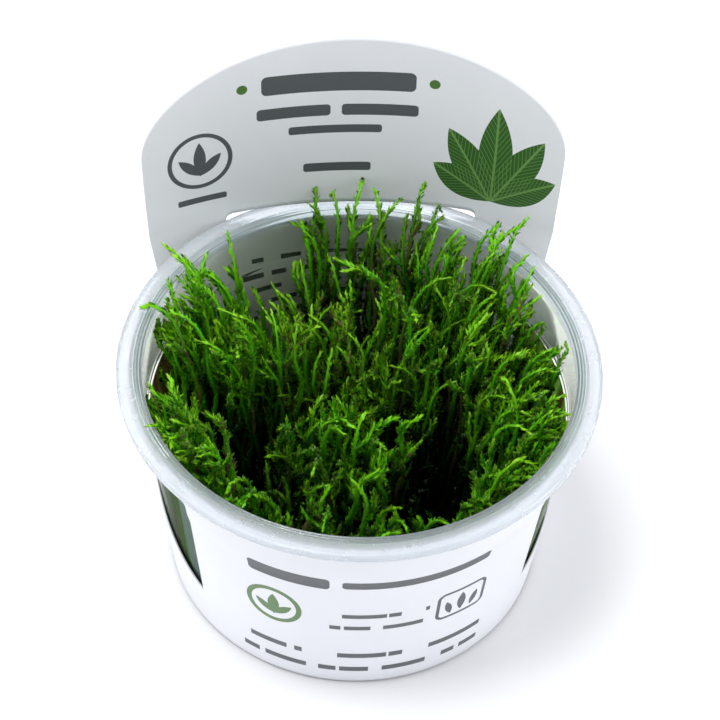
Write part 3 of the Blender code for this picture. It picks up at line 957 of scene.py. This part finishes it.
def stem_paths(rng, foot, tip, stations, sway):
    """Stems from foot to tip. Height rises evenly, and the way across is the share to the power
    of 1.2, plus three waves, each shorter and smaller than the one before, that fade at the
    ends. The first wave's size is sway."""
    count = len(foot)
    share = np.linspace(0.0, 1.0, stations)[None, :, None]
    path = foot[:, None] + (tip - foot)[:, None] * np.concatenate(
        [share ** 1.2, share ** 1.2, share], axis=2)
    for size, turns in ((sway, 0.8), (0.5 * sway, 2.1), (0.22 * sway, 4.3)):
        way = rng.uniform(0.0, math.tau, (count, 1, 1))
        phase = rng.uniform(0.0, math.tau, (count, 1, 1))
        push = size * rng.uniform(0.3, 1.0, (count, 1, 1)) * np.sin(math.pi * share) ** 0.5
        push = push * np.sin(math.tau * turns * share + phase)
        path += np.concatenate([push * np.cos(way), push * np.sin(way), 0.0 * push], axis=2)
    return path


def bend_over(paths, way, most, start):
    """Paths that turn away from their own direction past the share start. The angle towards the
    level direction way grows as the square of the way on, up to most."""
    step = np.diff(paths, axis=1)
    share = np.linspace(0.0, 1.0, step.shape[1])[None, :, None]
    angle = most[:, None, None] * np.clip((share - start) / (1.0 - start), 0.0, 1.0) ** 2
    level = np.concatenate([way, np.zeros((len(way), 1))], axis=1)[:, None]
    length = np.linalg.norm(step, axis=2, keepdims=True)
    step = length * unit(unit(step) * np.cos(angle) + level * np.sin(angle))
    return np.concatenate([paths[:, :1], paths[:, :1] + np.cumsum(step, axis=1)], axis=1)


def points_along(paths, number, share):
    """The point and the direction at each share of the path with that number."""
    last = paths.shape[1] - 1
    place = np.clip(share, 0.0, 1.0) * last
    index = np.minimum(place.astype(int), last - 1)
    part = (place - index)[:, None]
    before, after = paths[number, index], paths[number, index + 1]
    return before * (1.0 - part) + after * part, unit(after - before)


def sideways(rng, direction):
    """A random unit vector square to each direction."""
    free = rng.normal(size=direction.shape)
    return unit(free - direction * np.sum(free * direction, axis=-1, keepdims=True))


def side_paths(rng, parents, counts, low, high, lengths, stations):
    """Side shoots, and the number of each one's parent. Each leaves its parent at 30 to 58
    degrees and turns to within 25 degrees of the parent's own direction and upwards as it
    grows, added up step by step."""
    number = np.repeat(np.arange(len(parents)), counts)
    share = rng.uniform(low, high, len(number))
    start, along = points_along(parents, number, share)
    side = sideways(rng, along)
    opening = np.radians(rng.uniform(30.0, 58.0, len(number)))[:, None, None]
    closing = np.radians(rng.uniform(-25.0, 25.0, len(number)))[:, None, None]
    length = rng.uniform(*lengths, len(number)) * (1.15 - 0.5 * share)
    grown = np.linspace(0.0, 1.0, stations - 1)[None, :, None]
    angle = opening * (1.0 - grown) + closing * grown
    step = along[:, None] * np.cos(angle) + side[:, None] * np.sin(angle)
    step[..., 2] += 0.25 * grown[..., 0]
    step = unit(step) * length[:, None, None] / (stations - 1)
    path = np.concatenate([start[:, None], start[:, None] + np.cumsum(step, axis=1)], axis=1)
    return hold_in_cup(path), number


def thickness(share, foot_radius, tip_radius):
    """A shoot's radius: nearly even, and thinner towards the tip by the cube of the share."""
    return foot_radius + (tip_radius - foot_radius) * share ** 3


def tubes(paths, radii, scale, sides=5):
    """Tubes along the paths with a few sides and closed ends. radii are those at foot and tip,
    times each path's scale. Their shading normals point away from the path."""
    count, stations = paths.shape[:2]
    along = unit(np.gradient(paths, axis=1))
    side = unit(np.cross(along, OBLIQUE))
    other = np.cross(along, side)
    radius = thickness(np.linspace(0.0, 1.0, stations), *radii) * scale[:, None]
    radius = radius[..., None]
    angle = math.tau * np.arange(sides)[:, None] / sides
    out = side[:, :, None] * np.cos(angle) + other[:, :, None] * np.sin(angle)
    points = (paths[:, :, None] + radius[..., None] * out).reshape(-1, 3)
    base = (np.arange(count) * stations * sides)[:, None, None]
    row = (np.arange(stations - 1) * sides)[None, :, None]
    here = np.arange(sides)[None, None, :]
    there = (here + 1) % sides
    walls = np.stack([
        base + row + here, base + row + there,
        base + row + sides + there, base + row + sides + here,
    ], axis=-1).reshape(-1, 4)
    low = base[:, 0, 0]
    high = low + (stations - 1) * sides
    foot = low[:, None] + np.arange(sides)[::-1]
    tip = high[:, None] + np.arange(sides)
    return points, [walls, foot, tip], out.reshape(-1, 3)


def leaves(rng, paths, scale, low, high, spacing, length, opening, radii):
    """Leaves along the paths from share low to high, on alternate sides. The size of each
    path's leaves is the length times its scale, and radii are the shoot's at foot and tip.

    Each leaf is a closed keeled blade of four faces: its foot and its point, and two corners at
    40 % of its length, half its width to each side and raised by the keel. One in twelve or so
    stands off by 22 degrees more. Its shading normals lie between the way out from the shoot
    and its own face, so that a shoot looks like one soft cord.
    """
    run = np.linalg.norm(np.diff(paths, axis=1), axis=2).sum(axis=1)
    low = low + 0.0 * run
    counts = np.maximum((run * (high - low) / spacing).astype(int), 1)
    number = np.repeat(np.arange(len(paths)), counts)
    first = np.concatenate(([0], np.cumsum(counts)[:-1]))
    order = np.arange(len(number)) - first[number]
    share = (order + rng.uniform(0.0, 1.0, len(number))) / counts[number]
    share = low[number] + (high - low[number]) * share
    foot, along = points_along(paths, number, share)
    side = unit(np.cross(along, OBLIQUE))
    other = np.cross(along, side)
    roll = rng.uniform(0.0, math.tau, len(paths))[number] + math.pi * order
    roll = roll + rng.normal(0.0, 0.75, len(number)) + 0.11 * order
    out = side * np.cos(roll)[:, None] + other * np.sin(roll)[:, None]
    to_tip = run[number] * (1.0 - share)
    near_tip = np.exp(-to_tip / (1.2 * MM))
    stand_off, seldom = 22.0, 0.92
    lean = rng.uniform(*opening, len(number))
    lean = lean + stand_off * (rng.uniform(0.0, 1.0, len(number)) > seldom)
    lean = np.radians(lean * (1.0 - 0.7 * near_tip))[:, None]
    point = along * np.cos(lean) + out * np.sin(lean)
    across = np.cross(along, out)
    swing = rng.normal(0.0, 0.45, len(number))[:, None]
    face = np.cross(point, across)
    across, face = (
        across * np.cos(swing) + face * np.sin(swing),
        face * np.cos(swing) - across * np.sin(swing),
    )
    size = length * scale[number] * rng.uniform(0.75, 1.2, len(number))
    size = (size * (1.0 - 0.25 * near_tip))[:, None]
    width = LEAF_WIDTH * size
    foot = foot + out * (0.75 * thickness(share, *radii) * scale[number])[:, None]
    waist = foot + point * LEAF_WAIST * size + face * LEAF_KEEL * width
    points = np.stack([
        foot, waist - across * width / 2, foot + point * size, waist + across * width / 2,
    ], axis=1).reshape(-1, 3)
    base = (np.arange(len(number)) * 4)[:, None]
    faces = [base + np.array([corner]) for corner in ((0, 1, 3), (1, 2, 3), (0, 2, 1), (0, 3, 2))]
    normals = unit(np.stack([
        out, out - face - 0.8 * across, out - face + 0.8 * point, out - face + 0.8 * across,
    ], axis=1)).reshape(-1, 3)
    return points, faces, normals, number, to_tip


def moss_leaf(settings):
    """Wet moss leaf one cell thick: green light comes through it, and it glints where wet."""
    material, tree = new_material("wet moss leaf")
    tint = add_node(tree, "Attribute", out="Color", attribute_name="growth")
    young = add_node(tree, "SeparateColor", {"Color": tint}, "Red")
    chance = add_node(tree, "SeparateColor", {"Color": tint}, "Green")
    # Blue is painted light: painted shade low in the tuft, painted light at the sides and by the
    # wall.
    painted_light = add_node(tree, "SeparateColor", {"Color": tint}, "Blue")
    dead = add_node(tree, "Attribute", out="Alpha", attribute_name="growth")
    ramp = add_node(tree, "ValToRGB", {"Fac": young})
    stops = ramp.node.color_ramp.elements
    stops[0].position, stops[0].color = 0.0, settings.old_colour
    # The palest stop, which only the points of young leaves near a tip reach, is partly the pale
    # colour of young growth and partly a painted highlight of their wet glint.
    stops[1].position, stops[1].color = 1.0, linear("#A6D840")
    for position, shade in ((0.3, settings.leaf_colour), (0.8, settings.tip_colour)):
        stops.new(position).color = shade
    place = add_node(tree, "TexCoord", out="Object")
    patch = add_node(tree, "TexNoise", {"Vector": place, "Scale": 1.0 / (7.0 * MM), "Detail": 3.0})
    vary = add_node(tree, "Math", {0: chance, 1: patch}, operation="ADD")
    value = add_node(tree, "MapRange", {
        "Value": vary, "From Min": 0.4, "From Max": 1.6, "To Min": 0.6, "To Max": 1.4})
    # The colour's value is the painted light times a random tone, held under 1.4.
    shade = add_node(tree, "Math", {0: painted_light, 1: value}, operation="MULTIPLY")
    shade = add_node(tree, "Math", {0: shade, 1: 1.4}, operation="MINIMUM")
    hue = add_node(tree, "MapRange", {
        "Value": patch, "From Min": 0.3, "From Max": 0.7, "To Min": 0.49, "To Max": 0.51})
    colour = add_node(tree, "MixRGB", {
        "Fac": dead, "Color1": ramp, "Color2": settings.brown_colour})
    colour = add_node(tree, "HueSaturation", {"Hue": hue, "Value": shade, "Color": colour})
    rough = add_node(tree, "MapRange", {
        "Value": chance, "From Min": 0.0, "From Max": 1.0, "To Min": 0.15, "To Max": 0.5})
    surface = add_node(tree, "BsdfPrincipled", {
        "Base Color": colour, "Roughness": rough, "IOR": 1.4})
    through = add_node(tree, "BsdfTranslucent", {"Color": colour})
    both = add_node(tree, "MixShader", {"Fac": 0.36, 1: surface, 2: through})
    add_node(tree, "OutputMaterial", {"Surface": both})
    return material


def tuft_site(low, high):
    """Where a tuft stands: its axis, the way out from the cup's middle, its top, and shares from
    0 to 1. They say how far it is at the rim (edge), to the front, to one side (beside), in the
    dark hollow of the front, and in the airy stretch where the cup's back wall shows."""
    middle = np.array([(low.x + high.x) / 2, (low.y + high.y) / 2])
    across, back = middle
    far = float(np.hypot(*middle))
    front = float(ease(-back, 2.0 * MM, 14.0 * MM))
    core = 1.0 - float(ease(abs(across), 19.0 * MM, 27.0 * MM))
    airy = ease(back, 8.0 * MM, 14.0 * MM) * (1.0 - ease(across, 8.0 * MM, 14.0 * MM))
    return SimpleNamespace(
        middle=middle,
        out=middle / max(far, 1e-6),
        top=high.z,
        edge=float(ease(far, 20.0 * MM, 34.0 * MM)),
        front=front,
        nearer=float(ease(-back, -20.0 * MM, 10.0 * MM)),
        beside=float(ease(abs(across), 18.0 * MM, 28.0 * MM)),
        hollow=front * core,
        airy=float(airy * ease(across, -31.0 * MM, -24.0 * MM)),
    )


def main_paths(rng, site, gel_top, settings):
    """A tuft's main shoots, and the numbers of its leaders.

    Feet stand in a sunflower pattern on the gel round the tuft's axis, and the tips spread in
    the same pattern. Five leaders, or down to two in the hollow, reach the tuft's own height or
    nearly so. The others end lower, and far lower in the hollow and where the cup's back wall
    shows. All bend over at the top, and some of a tuft at the rim hook over the lip.
    """
    count = round(settings.shoots * (1.0 - 0.45 * site.hollow) * (1.0 - 0.3 * site.airy))
    leaders = len(LEADER_DROPS) - round(3.0 * site.hollow)
    foot_spread = 3.8 + 2.0 * site.front
    tip_spread = 4.4 + 1.0 * site.front
    turn = np.arange(count) * SUNFLOWER_TURN + rng.uniform(0.0, math.tau)
    reach = np.sqrt((np.arange(count) + 0.5) / count)[:, None]
    pattern = np.stack([np.cos(turn), np.sin(turn)], axis=-1) * reach
    foot = site.middle * (0.86 + 0.08 * site.edge) + pattern * foot_spread * MM
    foot = foot + rng.normal(0.0, 0.4 * MM, (count, 2))
    tip = site.middle + pattern * tip_spread * MM
    tip = tip + rng.normal(0.0, 1.3 * MM, (count, 2))
    tip = tip + site.out * site.edge * rng.uniform(0.0, 3.5 * MM, (count, 1))
    least = 2.0 + 9.0 * site.airy + 8.0 * site.hollow
    span = 15.0 - 8.0 * site.beside
    drop = (least + rng.beta(1.2, 1.4, count) * span) * MM
    drop += 6.0 * MM * (1.0 - 0.6 * site.beside) * reach[:, 0] ** 2
    tall = rng.permutation(count)[:leaders]
    drop[tall] = LEADER_DROPS[:leaders]
    foot = np.column_stack([foot, np.full(count, gel_top - 0.6 * MM)])
    tip = np.column_stack([tip, site.top - drop])
    paths = stem_paths(rng, foot, tip, STATIONS, 1.9 * MM)

    bend_way = unit(rng.normal(size=(count, 2)) + site.out * (0.3 + 1.5 * site.edge))
    most = np.radians(rng.uniform(*BEND, count))
    most[tall] += np.radians(rng.uniform(0.0, LEADER_BEND, leaders))
    hooked = rng.uniform(0.0, 1.0, count) < HOOKED_SHARE * site.edge
    most[hooked] += math.radians(HOOK_BEND)
    bend_way[hooked] = site.out
    paths = bend_over(paths, bend_way, most, BEND_START)
    loss = site.top - drop[tall] - paths[tall, :, 2].max(axis=1)
    paths[tall, :, 2] += loss[:, None] * np.linspace(0.0, 1.0, STATIONS) ** 2
    return hold_in_cup(paths), tall


def carpet_paths(rng, site, gel_top, count):
    """Short shoots strewn round a tuft's foot, which hide the gel."""
    turn = rng.uniform(0.0, math.tau, count)
    reach = (9.0 + 2.0 * site.front) * MM * np.sqrt(rng.uniform(0.0, 1.0, count))
    foot = site.middle * 0.9 + np.stack([np.cos(turn), np.sin(turn)], axis=-1) * reach[:, None]
    foot = np.column_stack([foot, np.full(count, gel_top - 0.4 * MM)])
    tip = foot + rng.normal(0.0, 2.5 * MM, (count, 3)) * [1.0, 1.0, 0.0]
    tip[:, 2] += rng.uniform(4.0, 15.0, count) * MM
    return hold_in_cup(stem_paths(rng, foot, tip, 8, 1.0 * MM))


def tuft_shoots(rng, site, settings):
    """The groups of shoots of one tuft. Side shoots grow on the upper part of the main shoots,
    twigs on the side shoots and sprigs low on the main shoots, as many as a Poisson draw gives."""
    gel_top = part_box("gel_disc")[1].z
    main, tall = main_paths(rng, site, gel_top, settings)
    often = np.full(len(main), settings.side_shoots * (1.0 - 0.75 * site.hollow))
    often[tall] = settings.side_shoots * (1.0 + 0.2 * site.hollow - 0.5 * site.airy)
    lengths = ((3.5 + site.hollow) * MM, 11.0 * MM)
    side, side_of = side_paths(
        rng, main, rng.poisson(often), 0.5 - 0.18 * site.hollow, 0.92, lengths, 8)
    counts = rng.poisson(0.35 - 0.15 * site.hollow, len(side))
    twigs, twigs_of = side_paths(rng, side, counts, 0.3, 0.8, (2.5 * MM, 5.0 * MM), 5)
    counts = rng.poisson(1.0 - 0.6 * site.hollow, len(main))
    sprigs, sprigs_of = side_paths(rng, main, counts, 0.05, 0.5, (3.0 * MM, 8.0 * MM), 4)
    carpet = carpet_paths(rng, site, gel_top, settings.low_shoots)
    run = np.linalg.norm(np.diff(main, axis=1), axis=2).sum(axis=1)
    bare = np.clip(1.0 - 26.0 * MM / run, 0.06, 1.0)
    thick = settings.stem_radius
    carpet_of = np.arange(len(carpet)) % len(main)
    return [
        Shoots(main, np.arange(len(main)), (thick, 0.14 * MM), bare, 1.0),
        Shoots(side, side_of, (0.82 * thick, 0.1 * MM), 0.04, 1.0),
        Shoots(twigs, side_of[twigs_of], (0.68 * thick, 0.08 * MM), 0.04, 1.0),
        Shoots(sprigs, sprigs_of, (0.5 * thick, 0.06 * MM), 0.04, 0.4),
        Shoots(carpet, carpet_of, (0.7 * thick, 0.08 * MM), 0.04, 0.3),
    ]


def growth(points, site, young, chance, brown):
    """Each point's growth colour: how young it is, its own chance, its painted light and how dead.
    The painted light is painted shade and light: brighter the higher it is and at the sides, and
    full where it is near the wall."""
    height = points[:, 2]
    # Painted shade: darker the lower the point lies below the tuft's top.
    low, high = 14.0 - 5.0 * site.front, 4.0 + 5.0 * site.front
    painted_light = 0.1 + 0.9 * ease(height, low * MM, site.top - high * MM)
    # Painted light at the sides, far more on the left, and a little in the front hollow.
    painted_side_light = (1.0 - 0.8 * (site.middle[0] > 0.0)) * site.beside
    painted_light = painted_light * (1.1 + painted_side_light + 0.2 * site.hollow)
    # Painted light by the wall, as if light came in through it.
    inward = inner_wall(height) - np.hypot(points[:, 0], points[:, 1])
    painted_light = np.maximum(painted_light, ease(-inward, -4.0 * MM, -1.0 * MM))
    return np.stack([young, chance, painted_light, brown], axis=-1)


def stem_part(shoots, site, traits):
    """The stems of a group, old at the foot and younger by the fourth power of the way up."""
    points, faces, normals = tubes(shoots.paths, shoots.radii, traits.vigour[shoots.stem])
    count, stations = shoots.paths.shape[:2]
    share = np.repeat(np.linspace(0.0, 1.0, stations), len(points) // (count * stations))
    young = np.tile(shoots.youth * (0.08 + 0.5 * share ** 4), count)
    chance = np.repeat(traits.shade[shoots.stem], len(share))
    brown = np.repeat(traits.dead[shoots.stem], len(share)) * np.tile(1.0 - share ** 2, count)
    return press_on_wall(points), faces, normals, growth(points, site, young, chance, brown)


def leaf_part(rng, shoots, site, traits, length, spacing, reach, opening):
    """The leaves of a group between the two shares in reach. They are young by an exponential of
    the way to the tip, and each is younger at its point than at its foot."""
    points, faces, normals, number, to_tip = leaves(
        rng, shoots.paths, traits.vigour[shoots.stem], *reach, spacing, length, opening,
        shoots.radii)
    young = shoots.youth * (0.25 + (0.6 - 0.2 * site.hollow) * np.exp(-to_tip / (7.0 * MM)))
    chance = 0.6 * traits.shade[shoots.stem][number] + 0.4 * rng.uniform(0.0, 1.0, len(young))
    brown = traits.dead[shoots.stem][number] * ease(to_tip, 9.0 * MM, 20.0 * MM)
    # A leaf's point is younger, so near a tip it reaches the palest stop, which is partly a painted
    # highlight.
    young = young[:, None] * np.array([1.0, 1.05, 1.2, 1.05])
    colours = growth(points, site, young.ravel(), np.repeat(chance, 4), np.repeat(brown, 4))
    return press_on_wall(points), faces, normals, colours


def joined(parts):
    """Several meshes as one: their points, faces, shading normals and colours end to end."""
    points, faces, normals, colours = zip(*parts)
    starts = np.cumsum([0] + [len(some) for some in points])
    faces = [some + start for group, start in zip(faces, starts) for some in group]
    return np.concatenate(points), faces, np.concatenate(normals), np.concatenate(colours)


def tuft_mesh(rng, low, high, settings):
    """All shoots of one tuft: each group's stems and leaves, and the sparse old leaves that lie
    close to the main shoots below the others."""
    site = tuft_site(low, high)
    groups = [shoots for shoots in tuft_shoots(rng, site, settings) if len(shoots.paths)]
    main = groups[0]
    count = len(main.paths)
    traits = SimpleNamespace(
        vigour=rng.uniform(0.9, 1.25, count) * (1.0 + 0.25 * site.nearer),
        shade=rng.uniform(0.0, 1.0, count),
        dead=(rng.uniform(0.0, 1.0, count) < 0.2) + 0.0,
    )
    length, spacing = settings.leaf_length, settings.leaf_spacing
    opening = (14.0 - 7.0 * site.front, 38.0 - 14.0 * site.front)
    parts = []
    for shoots in groups:
        parts.append(stem_part(shoots, site, traits))
        parts.append(leaf_part(
            rng, shoots, site, traits, length, spacing, (shoots.bare, 1.0), opening))
    low_down = (0.05, float(main.bare.max()))
    parts.append(leaf_part(
        rng, main, site, traits, length, 2.4 * spacing, low_down, (5.0, 20.0)))
    return joined(parts)


class MOSSCUP_OT_moss(bpy.types.Operator):
    """Grow the shoots of every tuft"""
    bl_idname = "moss_cup.grow_moss"
    bl_label = "Grow moss"

    def execute(self, context):
        settings = context.scene.moss_cup_moss
        material = moss_leaf(settings)
        for number, node in enumerate(TUFTS):
            rng = np.random.default_rng(settings.seed * 1000 + number)
            low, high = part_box(node)
            points, faces, normals, colours = tuft_mesh(rng, low, high, settings)
            shoots = new_piece(node.replace("tuft", "shoots"), points, faces, [material], normals)
            layer = shoots.data.color_attributes.new("growth", "FLOAT_COLOR", "POINT")
            layer.data.foreach_set("color", colours.astype(np.float32).ravel())
            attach(shoots, "root")
            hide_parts(node)
        return {"FINISHED"}


# Stage


def studio_floor():
    """Matt white studio paper."""
    material, tree = new_material("matt white studio paper")
    place = add_node(tree, "TexCoord", out="Object")
    grain = add_node(tree, "TexNoise", {"Vector": place, "Scale": 1.0 / (1.5 * MM), "Detail": 2.0})
    bump = add_node(tree, "Bump", {"Height": grain, "Strength": 0.05, "Distance": 0.05 * MM})
    surface = add_node(tree, "BsdfPrincipled", {
        "Base Color": linear("#F4F5F7"), "Roughness": 0.9, "Normal": bump})
    add_node(tree, "OutputMaterial", {"Surface": surface})
    return material


class MOSSCUP_OT_stage(bpy.types.Operator):
    """Set the floor, the lights and the camera"""
    bl_idname = "moss_cup.set_stage"
    bl_label = "Set stage"

    def execute(self, context):
        scene = context.scene
        settings = scene.moss_cup_stage
        half = 3.0
        below = -0.05 * MM
        points = np.array([
            (-half, -half, below), (half, -half, below), (half, half, below), (-half, half, below)])
        floor = new_piece("studio_floor", points, [np.array([[0, 1, 2, 3]])], [studio_floor()])

        world = bpy.data.worlds.new("white surroundings")
        world.use_nodes = True
        back = world.node_tree.nodes["Background"]
        back.inputs["Color"].default_value = linear("#FBFCFF")
        back.inputs["Strength"].default_value = settings.sky
        scene.world = world

        # Each lamp's name, place, width and power
        lamps = (
            ("key", (-0.15, -0.05, 0.80), 0.3, settings.key),
            ("left", (-0.85, 0.05, 0.45), 0.8, settings.left),
            ("right", (0.85, 0.05, 0.45), 0.8, settings.right),
        )
        for name, spot, size, power in lamps:
            lamp = bpy.data.lights.new(name, "AREA")
            lamp.size = size
            lamp.energy = power
            holder = bpy.data.objects.new(name, lamp)
            scene.collection.objects.link(holder)
            aim = Vector((0.0, 0.0, LIP_HEIGHT)) - Vector(spot)
            holder.location = spot
            holder.rotation_euler = aim.to_track_quat("-Z", "Y").to_euler()

        forward = Vector((0.0, math.cos(settings.elevation), -math.sin(settings.elevation)))
        turn = Matrix.Rotation(settings.roll, 3, forward)
        right = turn @ Vector((1.0, 0.0, 0.0))
        upward = right.cross(forward)
        lens = bpy.data.cameras.new("camera")
        lens.lens = settings.lens
        lens.sensor_width = 36.0
        lens.clip_start, lens.clip_end = 0.01, 20.0
        camera = bpy.data.objects.new("camera", lens)
        scene.collection.objects.link(camera)
        place = Matrix((right, upward, -forward)).transposed().to_4x4()
        place.translation = Vector((0.0, 0.0, LIP_HEIGHT)) - forward * settings.distance
        camera.matrix_world = place
        scene.camera = camera
        scene.view_settings.view_transform = "Standard"
        return {"FINISHED"}


class MOSSCUP_PT_panel(bpy.types.Panel):
    """Settings and steps of the moss cup"""
    bl_label = "Moss Cup"
    bl_idname = "MOSSCUP_PT_panel"
    bl_space_type = "VIEW_3D"
    bl_region_type = "UI"
    bl_category = "Moss Cup"

    def draw(self, context):
        for group, operators in PANEL_ROWS:
            box = self.layout.box()
            settings = getattr(context.scene, group)
            for name in type(settings).__annotations__:
                box.prop(settings, name)
            for operator in operators:
                box.operator(operator.bl_idname)


SETTINGS = {
    "moss_cup_cup": CupSettings,
    "moss_cup_sleeve": SleeveSettings,
    "moss_cup_moss": MossSettings,
    "moss_cup_stage": StageSettings,
}
PANEL_ROWS = [
    ("moss_cup_cup", (MOSSCUP_OT_cup,)),
    ("moss_cup_sleeve", (MOSSCUP_OT_sleeve,)),
    ("moss_cup_moss", (MOSSCUP_OT_gel, MOSSCUP_OT_moss)),
    ("moss_cup_stage", (MOSSCUP_OT_stage,)),
]
OPERATORS = [operator for _, operators in PANEL_ROWS for operator in operators]


def register():
    """Add the settings, the steps and the panel."""
    for kind in (*SETTINGS.values(), *OPERATORS, MOSSCUP_PT_panel):
        bpy.utils.register_class(kind)
    for name, kind in SETTINGS.items():
        setattr(bpy.types.Scene, name, bpy.props.PointerProperty(type=kind))


def unregister():
    """Take them away again."""
    for name in SETTINGS:
        delattr(bpy.types.Scene, name)
    for kind in reversed((*SETTINGS.values(), *OPERATORS, MOSSCUP_PT_panel)):
        bpy.utils.unregister_class(kind)


def main():
    """Make the whole object."""
    register()
    bpy.ops.moss_cup.set_stage()
    bpy.ops.moss_cup.make_cup()
    bpy.ops.moss_cup.make_sleeve()
    bpy.ops.moss_cup.make_gel()
    bpy.ops.moss_cup.grow_moss()
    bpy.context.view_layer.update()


if __name__ == "__main__":
    main()
